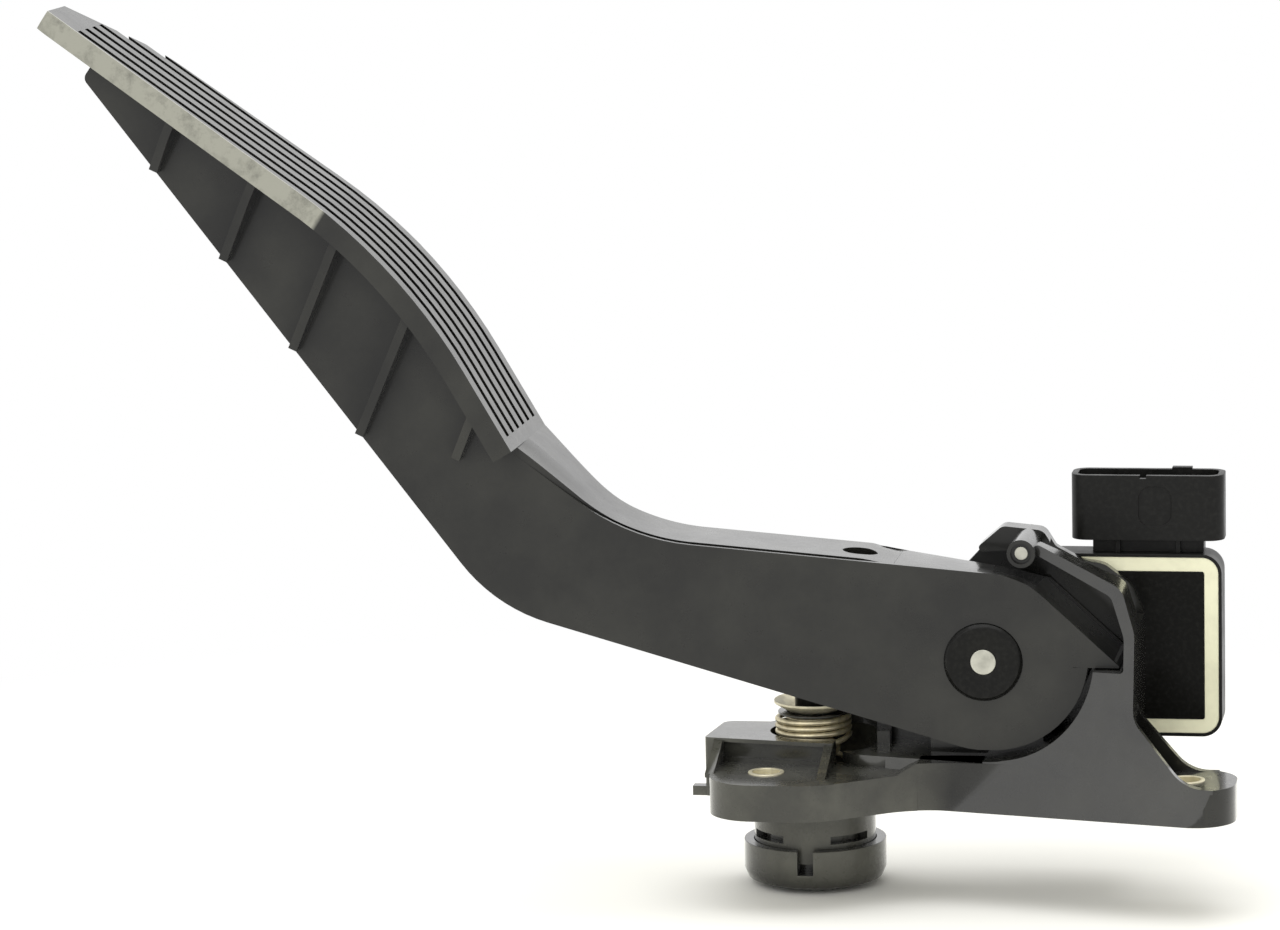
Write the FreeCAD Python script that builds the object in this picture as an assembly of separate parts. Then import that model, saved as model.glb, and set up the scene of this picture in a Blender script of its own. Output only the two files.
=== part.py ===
import FreeCAD, Part
import math
import os
from FreeCAD import Vector

# Accelerator pedal with its position sensor, in millimetres.
# Every shape is drawn about the pivot axis, in the middle plane of the pedal arm:
# X runs from the pad towards the sensor, Y away from the viewer, Z up.
# The finished pieces are then moved so that the origin lies midway between
# the two mounting bolts, on the mounting face.

# Pivot and mounting
PIVOT_HEIGHT = 36.5         # pivot axis above the mounting face
PIVOT_FROM_MID = 1.6        # pivot axis beyond the middle of the bolt line, along X
PIVOT_BEHIND_BOLTS = 18.4   # arm's middle plane behind the bolt line
BOLT_SPACING = 104.0
TAB_T = 9.1
SLEEVE_OUTER_R = 4.5
SLEEVE_WALL = 1.1
SLEEVE_PROUD = 0.3

# General clearances
FIT = 0.15                  # between pieces that are pushed together
RUN = 0.05                  # running fit of the shaft in its bushes
MOVE_GAP = 0.6              # between the moving arm and the fixed housing
STOP_GAP = 0.3              # left at the idle stop
OVER = 1.0                  # overshoot of cutting tools and of joined shapes
TINY = 1e-6
CORNER_SHARE = 0.495        # share of a side that one rounded corner may use

# Pedal arm
HUB_R = 22.2
ARM_W = 24.0
ARM_WALL = 4.0
ROOF_DROP = 4.0             # top wall of the arm, measured down
ROOF_BACK = 3.0             # and measured back towards the pad
LOWER_SLOPE = 16.1          # lower edge beside the hub, degrees
WEB_SLOPE = 52.6            # lower edge below the pad
WEB_BEND_X = -122.5         # corner between these two edges
WEB_BEND_R = 42.0
TOP_SLOPE = 4.9             # upper edge beside the hub
NECK_SLOPE = 40.4           # upper edge as it climbs to the pad
NECK_X = -88.3              # corner between these two edges
NECK_R = 55.0
NECK_LENGTH = 35.7
WEB_SETBACK = 15.5          # web ends this far before the pad's tip
WEB_END_R = 2.0
BEAK_REACH = 34.0
BEAK_DROP = 1.1             # idle stop face below the pivot axis
BEAK_ROOT = 24.4
BEAK_NOSE = 0.3
BULGE = (2.0, 1.7)          # centre of the hub's larger radius below the beak
BULGE_R = 23.9
BEVEL_X = -30.0             # bevel of the hub's far shoulder starts here
BEVEL_END = 20.0
BEVEL_FALL_X = 0.18         # its fall for each mm along X
BEVEL_FALL_Y = 0.256        # and for each mm away from the viewer
OIL_HOLE_X = -31.9
OIL_HOLE_R = 4.35
TOP_LIP_W = 1.2             # raised lips along the arm's upper edges
TOP_LIP_H = 0.5
TOP_LIP_ENDS = (-118.0, 40.0)
CROSS_RIB_T = 2.2
CROSS_RIBS = (-68.0, -92.0, -116.0, -146.0, -178.0)

# Pad
PAD_LOWER_ANGLE = 60.0
PAD_UPPER_ANGLE = 35.5
PAD_LOWER_LENGTH = 53.4
PAD_UPPER_LENGTH = 108.8
PAD_BEND_R = 140.0
PAD_T = 5.3
PAD_W = 43.0
PAD_TIP_W = 36.0
PAD_TAPER_LENGTH = 84.0     # taper of the pad, measured from its tip along X
PAD_TIP_R = 5.0
PAD_TIP_SKEW = 24.0         # far corner of the tip cut back along X
PAD_FAR_TIP = 9.0           # where this cut starts, beyond the arm's middle plane
PAD_FAR_TIP_R = 14.0
PAD_STEP = 0.1              # pad's lower end above the arm's top
NECK_FLARE = 10.5           # length over which the neck widens into the pad's far corner
NECK_FLARE_T = 4.0
NECK_FLARE_BEND = (0.4, 0.2)    # hollow of its edge, as shares of its length and width
GROOVE_COUNT = 6
GROOVE_PITCH = 6.4
GROOVE_W = 2.6
GROOVE_DEPTH = 1.1
GROOVE_END = 3.6            # grooves stop this far before the pad's lower end
GROOVE_TIP = 9.0            # and before its tip
GUSSET_T = 2.2
GUSSET_LEAN = 25.0          # from the vertical, degrees
GUSSET_FOOT = 3.5           # how far a gusset stands proud at the web's edge
GUSSET_INSET = 0.8          # gusset behind the pad's edge
GUSSET_STATIONS = (17.0, 47.0, 72.4, 97.8, 123.2)    # along the tread from the pad's lower end
FIRST_GUSSET_LENGTH = 19.0  # the lowest one stops on the web

# Pivot
SHAFT_R = 4.0
SHAFT_NOSE_R = 3.15
CAP_R = 9.65
CAP_T = 2.6
CAP_SINK = 1.4
CAP_DISH = 0.8
BUSH_WALL = 1.6
BUSH_FLANGE_R = 8.2
BUSH_FLANGE_T = 0.9
BUSH_LENGTH = 5.5
TOWER_W = 12.0
TOWER_R = 14.0
TOWER_FOOT = 28.0
WASHER_R = 9.0
WASHER_T = 0.7

# Housing
HUB_CLEAR = 2.1
BULGE_CLEAR = 1.7
DECK_Z = -24.6              # top of the housing left of the hub
DECK_LEFT = -39.8
DECK_END_R = 15.0           # rounded near corner of the deck, in plan
DECK_FRONT = -10.7
LEDGE_R = 1.0
LEDGE_TO_WALL = 35.0        # inner face of the end wall
END_WALL_T = 2.6
FRAME_CORNER_Z = 8.0        # end wall's outer face ends here, below the roof
FRAME_CORNER_R = 9.0
LUG = (9.0, 26.2)
LUG_R = 3.5
LUG_RIM = 0.9
LUG_RIM_DEPTH = 1.2
LUG_PIN_R = 1.7
LUG_PIN_SUNK = 0.8
LUG_PIN_LENGTH = 14.0
LUG_FRONT = -7.0
# Corners (x, z, radius): outside and inside of the roof over the beak, then the ear above the hub
ROOF_OUTSIDE = [(9.0, 26.2, 0), (13.0, 28.1, 1.0), (34.2, 18.6, 5.0)]
ROOF_INSIDE = [(6.4, 20.8, 0), (12.4, 25.8, 0), (31.6, 16.6, 3.0), (35.0, 7.0, 6.0)]
ROOF_FAR = 0.5              # far face of the roof
EAR_FOOT = (-5.2, 23.6, 1.0)    # foot of the ear's thick part, clear of the arm
EAR_CORNERS = [(2.6, 30.3, 2.5), (12.8, 29.3, 3.0), (15.6, 24.8, 2.0)]
FAR_WALL_LEFT = [(-28.0, -7.0, 3.0), (-22.5, -3.0, 6.0), (-14.0, 14.0, 6.0), (-6.4, 20.6, 1.0)]
FAR_WALL_ROOF = [(22.2, 21.2, 3.0), (27.6, 20.5, 6.0), (34.4, 15.2, 6.0)]
FAR_WALL_T = 3.1
EAR_T = 6.5
FACE_SLANT = 0.222          # near wall: run forward for each mm along X
FACE_LEAN = 0.276           # and back for each mm up
WAIST_X = -16.0
WAIST_BEHIND = 2.5          # waist behind the bolt line
FOOT_FRONT = 15.0           # left tab's front before its bolt
FOOT_END = 13.6             # left tab's end beyond its bolt
TAB_R = 12.2
FOOT_CORNER_R = 12.0
FOOT_NECK_R = 18.0
WAIST_R = 20.0
FOOT_BACK_R = 5.0
TAB_CORNER_R = 10.0
TAB_ROOT_R = 4.0
WAIST_LEFT = -39.0
FLARE_W = 13.0
FLARE_H = 15.0
FLARE_TOP_R = 6.0
FLARE_FOOT_R = 10.0
FLARE_T = 2.6
BLOCK_HEIGHT = 5.9          # block above the tabs
BLOCK_LEFT = -71.2
BLOCK_RIGHT = -37.9
BLOCK_FRONT = 12.8          # block's front face behind the bolt line, at its left end
BLOCK_SLANT = 0.16          # front face: run forward for each mm along X
BLOCK_FAR = 14.3
BLOCK_EDGE_R = 1.0
BLOCK_BACK_R = 3.0
BLOCK_RIB_T = 2.2
BLOCK_RIB_REACH = 15.0
BLOCK_RIB_SET = 2.6         # left rib from the block's left end
PANEL_SUNK = 1.2
PANEL_EDGE = 1.0
NUB = (3.2, 3.0, 2.4)       # latch nub on the block's left end
NUB_Y = -5.4
SCREEN_TOP = -8.0
SCREEN_CORNER = 6.0
# Plan of the screen behind the spring: from its left end to the far wall and back
SCREEN_NEAR = [(-50.0, 16.0, 0), (-34.0, 16.0, 0), (-30.0, 12.6, 0), (-26.5, 12.6, 0)]
SCREEN_BACK = [(-26.5, 15.7, 0), (-29.4, 15.7, 0), (-33.0, 18.4, 0), (-50.0, 18.4, 0)]

# Return springs and their spigot
SPRING_X = -45.1
SPRING_Y = 5.0
SPIGOT_R = 15.3
SPIGOT_WALL = 2.4
SPIGOT_REACH = 19.6         # below the mounting face
WINDOW_TOP = 9.2
WINDOW_H = 2.0
WINDOW_ANGLE = 44.0
WINDOW_COUNT = 4
CAP_RING_R = 17.9
CAP_RING_TOP = 12.4
CAP_RING_BOTTOM = 22.8
CAP_FLOOR_T = 2.6
CAP_ROUND = 3.2
CAP_NOTCH_W = 4.0
CAP_NOTCH_H = 6.0
CAP_NOTCH_TOP = 3.7         # spigot's latch window below the ring's top
CAP_SLEEVE_T = 1.1
WELL_R = 10.9
WELL_SHIFT = 5.2            # how far the upper seat swings along X
WELL_WALL = 3.2
SEAT_Z = -16.9              # upper ends of both springs
PLUG_T = 0.6
PLUG_R = 8.9
SEAT_R = 9.8
SEAT_FLAT_R = 6.2
SEAT_T = 0.8
SEAT_DISH = 2.1
POST_R = 4.6
OUTER_MEAN_R = 9.0
OUTER_WIRE_R = 0.7
OUTER_TURNS = 8.0
OUTER_TOP_TURNS = 3.0       # wound close below the upper seat
INNER_MEAN_R = 6.2
INNER_WIRE_R = 0.6
INNER_TURNS = 7.0
INNER_TOP_TURNS = 1.0
COIL_GAP = 0.17             # between close turns
COIL_STEPS = 14             # sections in each turn
WIRE_SIDES = 6
PILOT_R = 4.6
PILOT_H = 3.0

# Sensor
SENSOR_RIGHT = 56.6
SENSOR_TOP = 22.4
SENSOR_BOTTOM = -23.9
SHOULDER_X = 4.0            # left of this the tray narrows to a lobe round the shaft
SHOULDER_R = 8.0
LOBE_LEFT = -21.5
LOBE_LOW = -11.0
LOBE_HIGH = 10.0
LOBE_R = 12.0
SENSOR_DEPTH = 10.4
SENSOR_RIM = 0.8
SENSOR_LEDGE = 6.0          # ledge under cover and sealant, from the outline inwards
SENSOR_BACK_T = 2.0
SENSOR_CORNER = 5.0
SEALANT_W = 3.6
SEALANT_T = 1.4
COVER_T = 1.6
SHAFT_HOLE_R = 5.0
BOARD_T = 1.6
BOARD_MARGIN = 0.4
ROTOR_R = 10.0
ROTOR_T = 2.6
FLAT_DEPTH = 1.0
ROTOR_SET = 2.2             # rotor behind the sensor's near face
WIPER_W = 2.0
WIPER_T = 0.4
WIPER_R = 7.0
WIPER_LENGTH = 6.0
WIPER_GAP = 0.4
EAR_R = 4.6
EAR_T_SENSOR = 4.0
SCREW_R = 1.8
SCREW_HEAD_R = 3.2
SCREW_HEAD_T = 2.2
SCREW_SOCKET_W = 3.0
SCREW_SOCKET_DEPTH = 1.2
SENSOR_EARS = [(-25.0, -2.0), (-15.0, -18.5), (24.0, -27.6)]
SCREW_TIP = 2.6             # screw thread in the housing's far wall

# Connector
SHROUD_W = 38.1
SHROUD_D = 12.0
SHROUD_H = 16.4
SHROUD_RIGHT = 57.1
SHROUD_TOP = 42.2
SHROUD_SET = 0.1            # shroud behind the sensor's near face
SHROUD_WALL = 1.6
SHROUD_FLOOR = 3.0
SHROUD_CORNER = 4.0
NOTCH_X = 37.1              # keying notch in the near rim
NOTCH_W = 1.6
NOTCH_DEPTH = 0.8
RECESS = (35.9, 44.1, 29.4, 39.4)    # shallow field on the near face: x and z limits
RECESS_R = 3.0
RECESS_DEPTH = 0.5
NECK_W = 27.7
NECK_D = 6.0
NECK_SET = 3.9              # neck behind the sensor's near face
NECK_RIB_T = 1.2
NECK_RIB_PROUD = 1.6
NECK_RIB_FROM_MID = 7.5
LATCH_FROM_MID = 5.5
LATCH_W = 5.0
LATCH_PROUD = 0.9
LATCH_H = 3.5
LATCH_OVER_RIM = 0.5
BLADE_COUNT = 6
BLADE_PITCH = 4.6
BLADE_W = 1.5
BLADE_T = 0.8
BLADE_REACH = 8.0
BLADE_FOOT = 3.0            # lap on the board

# Worked out from the above
GROUND = -PIVOT_HEIGHT
TAB_TOP = GROUND + TAB_T
BOLT_Y = -PIVOT_BEHIND_BOLTS
LEFT_BOLT_X = -BOLT_SPACING / 2 - PIVOT_FROM_MID
RIGHT_BOLT_X = BOLT_SPACING / 2 - PIVOT_FROM_MID
HALF_W = ARM_W / 2
CHEEK_Y = HALF_W - ARM_WALL
FAR_WALL_Y = HALF_W + MOVE_GAP
SENSOR_Y = FAR_WALL_Y + FAR_WALL_T
BLOCK_TOP = TAB_TOP + BLOCK_HEIGHT
WAIST_Y = BOLT_Y + WAIST_BEHIND
CAP_FLOOR_Z = GROUND - CAP_RING_BOTTOM + CAP_FLOOR_T
HUB_CUT_R = HUB_R + HUB_CLEAR
RIGHT_END = RIGHT_BOLT_X + TAB_R
LEDGE_Z = -BEAK_DROP - STOP_GAP
LUG_PIN_END = LUG_FRONT + LUG_RIM_DEPTH + LUG_PIN_LENGTH
END_WALL_X = LEDGE_TO_WALL + END_WALL_T
REACH = 400.0               # longer than the whole part, for cutting tools
Y_AXIS = Vector(0, 1, 0)
Z_AXIS = Vector(0, 0, 1)


# Drawing tools

def direction(angle):
    return (math.cos(math.radians(angle)), math.sin(math.radians(angle)))


def along(point, angle, distance):
    step = direction(angle)
    return (point[0] + step[0] * distance, point[1] + step[1] * distance)


def meet(p, p_angle, q, q_angle):
    """Point where two lines meet, each given by a point and an angle."""
    a = direction(p_angle)
    b = direction(q_angle)
    cross = a[0] * b[1] - a[1] * b[0]
    t = ((q[0] - p[0]) * b[1] - (q[1] - p[1]) * b[0]) / cross
    return (p[0] + a[0] * t, p[1] + a[1] * t)


def flat_face(corners, place):
    """Face with straight sides whose corners (u, v, radius) are rounded."""
    count = len(corners)
    ends = []
    for i, (u, v, radius) in enumerate(corners):
        corner = Vector(u, v, 0)
        before = Vector(corners[i - 1][0], corners[i - 1][1], 0) - corner
        after = Vector(corners[(i + 1) % count][0], corners[(i + 1) % count][1], 0) - corner
        before_room = before.Length * (CORNER_SHARE if corners[i - 1][2] else 1)
        after_room = after.Length * (CORNER_SHARE if corners[(i + 1) % count][2] else 1)
        before.normalize()
        after.normalize()
        half = before.getAngle(after) / 2
        reach = min(radius / math.tan(half), before_room, after_room) if radius > 0 else 0.0
        if reach < TINY:
            ends.append((corner, None, corner))
            continue
        bisector = (before + after).normalize()
        r = reach * math.tan(half)
        centre = corner + bisector * (r / math.sin(half))
        ends.append((corner + before * reach, centre - bisector * r, corner + after * reach))
    edges = []
    for i, (start, middle, end) in enumerate(ends):
        if middle is not None:
            edges.append(Part.Arc(place(start), place(middle), place(end)).toShape())
        following = ends[(i + 1) % count][0]
        if (following - end).Length > TINY:
            edges.append(Part.LineSegment(place(end), place(following)).toShape())
    return Part.Face(Part.Wire(edges))


def side(corners, y0, y1):
    """Side outline, corners (x, z, radius), carried from y0 to y1."""
    face = flat_face(corners, lambda p: Vector(p.x, y0, p.y))
    return face.extrude(Vector(0, y1 - y0, 0))


def plan(corners, z0, z1):
    """Plan outline, corners (x, y, radius), carried from z0 to z1."""
    face = flat_face(corners, lambda p: Vector(p.x, p.y, z0))
    return face.extrude(Vector(0, 0, z1 - z0))


def box(x0, x1, y0, y1, z0, z1):
    return Part.makeBox(x1 - x0, y1 - y0, z1 - z0, Vector(x0, y0, z0))


def rod(radius, x, z, y0, y1):
    """Round bar along Y."""
    return Part.makeCylinder(radius, y1 - y0, Vector(x, y0, z), Y_AXIS)


def post(radius, x, y, z0, z1):
    """Round bar along Z."""
    return Part.makeCylinder(radius, z1 - z0, Vector(x, y, z0), Z_AXIS)


def turned(profile, x, y):
    """Solid turned about a vertical axis from a profile of (radius, z) points."""
    points = [Vector(r, 0, z) for r, z in profile]
    face = Part.Face(Part.makePolygon(points + points[:1]))
    solid = face.revolve(Vector(0, 0, 0), Z_AXIS, 360)
    solid.translate(Vector(x, y, 0))
    return solid


def join(shapes):
    return shapes[0].fuse(shapes[1:]).removeSplitter()


# Pedal arm

def hub_tangent(angle):
    """Point of the hub's circle at an angle."""
    return along((0, 0), angle, HUB_R)


LOWER_START = hub_tangent(-90 - LOWER_SLOPE)
TOP_START = hub_tangent(90 - TOP_SLOPE)
WEB_BEND = meet(LOWER_START, 180 - LOWER_SLOPE, (WEB_BEND_X, 0), 90)
NECK = meet(TOP_START, 180 - TOP_SLOPE, (NECK_X, 0), 90)
PAD_END = along(along(NECK, 180 - NECK_SLOPE, NECK_LENGTH), 90 - NECK_SLOPE, PAD_STEP)
PAD_KNEE = along(PAD_END, 180 - PAD_LOWER_ANGLE, PAD_LOWER_LENGTH)
PAD_TIP = along(PAD_KNEE, 180 - PAD_UPPER_ANGLE, PAD_UPPER_LENGTH)


def pad_line(depth, end_cut=0.0, tip_cut=0.0):
    """The pad's bent line, a depth below its tread, short of its two ends."""
    end = along(along(PAD_END, -90 - PAD_LOWER_ANGLE, depth), 180 - PAD_LOWER_ANGLE, end_cut)
    tip = along(along(PAD_TIP, -90 - PAD_UPPER_ANGLE, depth), -PAD_UPPER_ANGLE, tip_cut)
    knee = meet(end, 180 - PAD_LOWER_ANGLE, tip, -PAD_UPPER_ANGLE)
    return [end + (0,), knee + (PAD_BEND_R - depth,), tip + (0,)]


def pad_layer(top, bottom, y0, y1, end_cut=0.0, tip_cut=0.0):
    upper = pad_line(top, end_cut, tip_cut)
    lower = pad_line(bottom, end_cut, tip_cut)
    return side(upper + lower[::-1], y0, y1)


def pad_plan(inset, z0, z1):
    """Plan of the pad: parallel below, tapering to the tip."""
    half = PAD_W / 2 - inset
    tip_half = PAD_TIP_W / 2 - inset
    left = PAD_TIP[0] - PAD_T + inset
    kink = PAD_TIP[0] + PAD_TAPER_LENGTH
    right = PAD_END[0] + PAD_T
    corners = [(right, -half, 0), (kink, -half, 0), (left, -tip_half, PAD_TIP_R),
               (left, PAD_FAR_TIP - tip_half, PAD_FAR_TIP_R),
               (left + PAD_TIP_SKEW, tip_half, PAD_FAR_TIP_R), (kink, half, 0), (right, half, 0)]
    return plan(corners, z0, z1)


def arm_side():
    """Side outline of the arm and the web below the pad."""
    middle = pad_line(PAD_T / 2, tip_cut=WEB_SETBACK)
    web_angle = 180 - WEB_SLOPE
    web_end = meet(WEB_BEND, web_angle, middle[2][:2], -90 - PAD_UPPER_ANGLE)
    return [(0, 0, 0), LOWER_START + (0,), WEB_BEND + (WEB_BEND_R,), web_end + (WEB_END_R,),
            middle[2], middle[1], middle[0], NECK + (NECK_R,), TOP_START + (0,)]


def beak_side():
    lean = math.degrees(math.acos(HUB_R / BEAK_REACH))
    return [(0, 0, 0), (BEAK_ROOT, -BEAK_DROP, 0), (BEAK_REACH, -BEAK_DROP, BEAK_NOSE),
            hub_tangent(lean) + (0,)]


def arm_bar(y0, y1):
    bar = side(arm_side(), y0, y1)
    bulge = rod(BULGE_R, BULGE[0], BULGE[1], y0, y1)
    bulge = bulge.common(box(0, REACH, y0, y1, -REACH, -BEAK_DROP))
    return join([bar, side(beak_side(), y0, y1), rod(HUB_R, 0, 0, y0, y1), bulge])


def hub_bevel():
    """What lies above the sloping bevel of the hub's far shoulder."""
    level = meet(TOP_START, 180 - TOP_SLOPE, (BEVEL_X, 0), 90)[1]
    left = BEVEL_X - BEVEL_END
    far = HALF_W + OVER
    points = []
    for x, y in ((left, -HALF_W), (BEVEL_END, -HALF_W), (BEVEL_END, far), (left, far)):
        points.append(Vector(x, y, level - BEVEL_FALL_X * (x - BEVEL_X) - BEVEL_FALL_Y * (y - HALF_W)))
    face = Part.Face(Part.makePolygon(points + points[:1]))
    return face.extrude(Vector(0, 0, REACH))


def neck_flare():
    """Plate that widens the neck's far side into the pad's far corner."""
    start = along(PAD_END, 180 - NECK_SLOPE, OVER)
    end = along(start, -NECK_SLOPE, NECK_FLARE)
    below = -90 - NECK_SLOPE
    corners = [start, end, along(end, below, NECK_FLARE_T), along(start, below, NECK_FLARE_T)]
    plate = side([corner + (0,) for corner in corners], CHEEK_Y, PAD_W / 2)
    left = corners[3][0]
    bend_x = end[0] + (start[0] - end[0]) * NECK_FLARE_BEND[0]
    bend_y = HALF_W + (PAD_W / 2 - HALF_W) * NECK_FLARE_BEND[1]
    keep = [(left, CHEEK_Y, 0), (end[0], CHEEK_Y, 0), (end[0], HALF_W, 0), (bend_x, bend_y, NECK_FLARE),
            (start[0], PAD_W / 2, 0), (left, PAD_W / 2, 0)]
    return plate.common(plan(keep, GROUND, PAD_TIP[1]))


def top_relief():
    """Skin taken off the arm's upper face between its two lips."""
    half = HALF_W - TOP_LIP_W
    skin = arm_bar(-half, half)
    below = skin.copy()
    below.translate(Vector(-TOP_LIP_H * ROOF_BACK / ROOF_DROP, 0, -TOP_LIP_H))
    limits = box(TOP_LIP_ENDS[0], TOP_LIP_ENDS[1], -half, half, 0, PAD_TIP[1])
    return skin.cut(below).common(limits)


def gusset_station(distance):
    """Point of the tread above a gusset, a distance from the pad's lower end."""
    if distance <= PAD_LOWER_LENGTH:
        return along(PAD_END, 180 - PAD_LOWER_ANGLE, distance)
    return along(PAD_KNEE, 180 - PAD_UPPER_ANGLE, distance - PAD_LOWER_LENGTH)


def gussets():
    """Thin ribs from the pad's overhang down to the web's lower edge, on both sides."""
    lean = -90 - GUSSET_LEAN
    ribs = []
    for distance in GUSSET_STATIONS:
        top = gusset_station(distance)
        foot = meet(top, lean, WEB_BEND, 180 - WEB_SLOPE)
        first = distance == GUSSET_STATIONS[0]
        length = FIRST_GUSSET_LENGTH if first else math.dist(top, foot)
        outer = PAD_W / 2
        proud = HALF_W + GUSSET_FOOT
        inner = CHEEK_Y + OVER
        for sign in (-1, 1):
            corners = [(0, inner), (0, outer), (length, proud), (length, inner)]
            points = []
            for s, y in corners:
                x, z = along(top, lean, s)
                points.append(Vector(x, sign * y, z))
            face = Part.Face(Part.makePolygon(points + points[:1]))
            across = direction(-GUSSET_LEAN)
            ribs.append(face.extrude(Vector(across[0], 0, across[1]) * GUSSET_T))
    trimmed = Part.makeCompound(ribs).common(side(arm_side(), -PAD_W, PAD_W))
    return trimmed.common(pad_plan(GUSSET_INSET, GROUND, PAD_TIP[1])).Solids


def cross_ribs():
    """Plates that tie the two walls of the arm together inside its channel."""
    plates = []
    half = CHEEK_Y + OVER
    for x in CROSS_RIBS:
        plates.append(box(x, x + CROSS_RIB_T, -half, half, GROUND, PAD_TIP[1]))
    outline = arm_side()
    keep = side(outline, -HALF_W, HALF_W)
    keep.translate(Vector(-ROOF_BACK / 2, 0, ROOF_DROP / 2))
    return Part.makeCompound(plates).common(keep).common(side(outline, -HALF_W, HALF_W)).Solids


def pedal_arm():
    bar = arm_bar(-HALF_W, HALF_W)
    channel = arm_bar(-CHEEK_Y, CHEEK_Y)
    channel.translate(Vector(-ROOF_BACK, 0, -ROOF_DROP))
    beside_tip = box(PAD_TIP[0] - PAD_T, PAD_TIP[0] + PAD_TAPER_LENGTH, -HALF_W, HALF_W, 0, PAD_TIP[1])
    beside_tip = beside_tip.cut(pad_plan(GUSSET_INSET, GROUND, PAD_TIP[1] + PAD_T))
    bar = join([bar.cut([channel, beside_tip])] + cross_ribs()).cut([top_relief(), hub_bevel()])
    pad = pad_layer(0, PAD_T, -PAD_W / 2, PAD_W / 2).common(pad_plan(0, GROUND, PAD_TIP[1] + PAD_T))
    roof = meet(TOP_START, 180 - TOP_SLOPE, (SPRING_X + POST_R, 0), 90)
    spring_post = post(POST_R, SPRING_X, SPRING_Y, SEAT_Z + PLUG_T + SEAT_T, roof[1] - ROOF_DROP / 3)
    arm = join([bar, pad, neck_flare(), spring_post] + gussets())
    cuts = [rod(SHAFT_R, 0, 0, -REACH, REACH), rod(CAP_R + FIT, 0, 0, -REACH, CAP_SINK - HALF_W)]
    cuts.append(post(OIL_HOLE_R, OIL_HOLE_X, 0, 0, REACH))
    first = -GROOVE_PITCH * (GROOVE_COUNT - 1) / 2
    for index in range(GROOVE_COUNT):
        y = first + GROOVE_PITCH * index - GROOVE_W / 2
        cuts.append(pad_layer(-OVER, GROOVE_DEPTH, y, y + GROOVE_W, GROOVE_END, GROOVE_TIP))
    return arm.cut(cuts)


# Housing

def face_y(x, z):
    """Depth of the housing's slanted, leaning near wall."""
    return WAIST_Y - FACE_SLANT * (x - WAIST_X) + FACE_LEAN * (z - GROUND)


def before_face(offset, x0, x1):
    """Everything nearer than the near wall moved back by an offset."""
    corners = [(x0, GROUND - OVER), (x1, GROUND - OVER), (x1, PIVOT_HEIGHT), (x0, PIVOT_HEIGHT)]
    points = [Vector(x, face_y(x, z) + offset, z) for x, z in corners]
    face = Part.Face(Part.makePolygon(points + points[:1]))
    return face.extrude(Vector(0, -REACH, 0))


def foot_plan(z1):
    left_end = LEFT_BOLT_X - FOOT_END
    front = BOLT_Y - FOOT_FRONT
    tab_back = BOLT_Y + TAB_R
    corners = [(left_end, front, FOOT_CORNER_R), (WAIST_LEFT, front, FOOT_NECK_R),
               (WAIST_X, WAIST_Y, WAIST_R), (RIGHT_END, face_y(RIGHT_END, GROUND), TAB_CORNER_R),
               (RIGHT_END, tab_back, TAB_CORNER_R), (END_WALL_X, tab_back, TAB_ROOT_R),
               (END_WALL_X, SENSOR_Y, FIT), (WAIST_X, SENSOR_Y, FOOT_BACK_R),
               (WAIST_X, BLOCK_FAR, FOOT_BACK_R), (left_end, BLOCK_FAR, FOOT_BACK_R)]
    return plan(corners, GROUND, z1)


def end_frame():
    """Deck, ledge, end wall and roof that bend round the arm's hub and beak."""
    outside = [(DECK_LEFT, GROUND, 0), (DECK_LEFT, DECK_Z, 0), (0, DECK_Z, 0)] + ROOF_OUTSIDE
    outside += [(END_WALL_X, FRAME_CORNER_Z, FRAME_CORNER_R), (END_WALL_X, GROUND, 0)]
    inside = [(0, 0, 0)] + ROOF_INSIDE + [(LEDGE_TO_WALL, LEDGE_Z, LEDGE_R), (HUB_R, LEDGE_Z, 0)]
    frame = side(outside, -REACH, FAR_WALL_Y)
    bulge = rod(BULGE_R + BULGE_CLEAR, BULGE[0], BULGE[1], -REACH, REACH)
    bulge = bulge.common(box(0, REACH, -REACH, REACH, -REACH, 0))
    behind_roof = box(0, END_WALL_X + OVER, ROOF_FAR, REACH, FRAME_CORNER_Z, PIVOT_HEIGHT)
    frame = frame.cut([side(inside, -REACH, REACH), rod(HUB_CUT_R, 0, 0, -REACH, REACH), bulge, behind_roof])
    deck_turn = DECK_LEFT + DECK_END_R
    limits = [(DECK_LEFT, DECK_FRONT, DECK_END_R), (deck_turn, DECK_FRONT, 0), (deck_turn, -REACH, 0),
              (REACH, -REACH, 0), (REACH, SENSOR_Y, 0), (DECK_LEFT, SENSOR_Y, 0)]
    frame = frame.common(plan(limits, GROUND, PIVOT_HEIGHT)).common(foot_plan(PIVOT_HEIGHT))
    return frame.cut(before_face(0, DECK_LEFT - OVER, END_WALL_X))


def far_wall():
    """Wall behind the arm that carries the sensor, with the ear above the hub."""
    corners = [(FAR_WALL_LEFT[0][0], GROUND, 0)] + FAR_WALL_LEFT + EAR_CORNERS + FAR_WALL_ROOF
    corners += [(END_WALL_X, FRAME_CORNER_Z, FRAME_CORNER_R), (END_WALL_X, GROUND, 0)]
    wall = side(corners, FAR_WALL_Y, SENSOR_Y)
    ear = side([EAR_FOOT] + EAR_CORNERS + [(LUG[0], LUG[1] - LUG_R / 2, 0)], SENSOR_Y - EAR_T, SENSOR_Y)
    return [wall, ear]


def lug():
    boss = rod(LUG_R, LUG[0], LUG[1], LUG_FRONT, SENSOR_Y)
    recess = rod(LUG_R - LUG_RIM, LUG[0], LUG[1], LUG_FRONT, LUG_FRONT + LUG_RIM_DEPTH)
    return boss.cut(recess)


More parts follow.
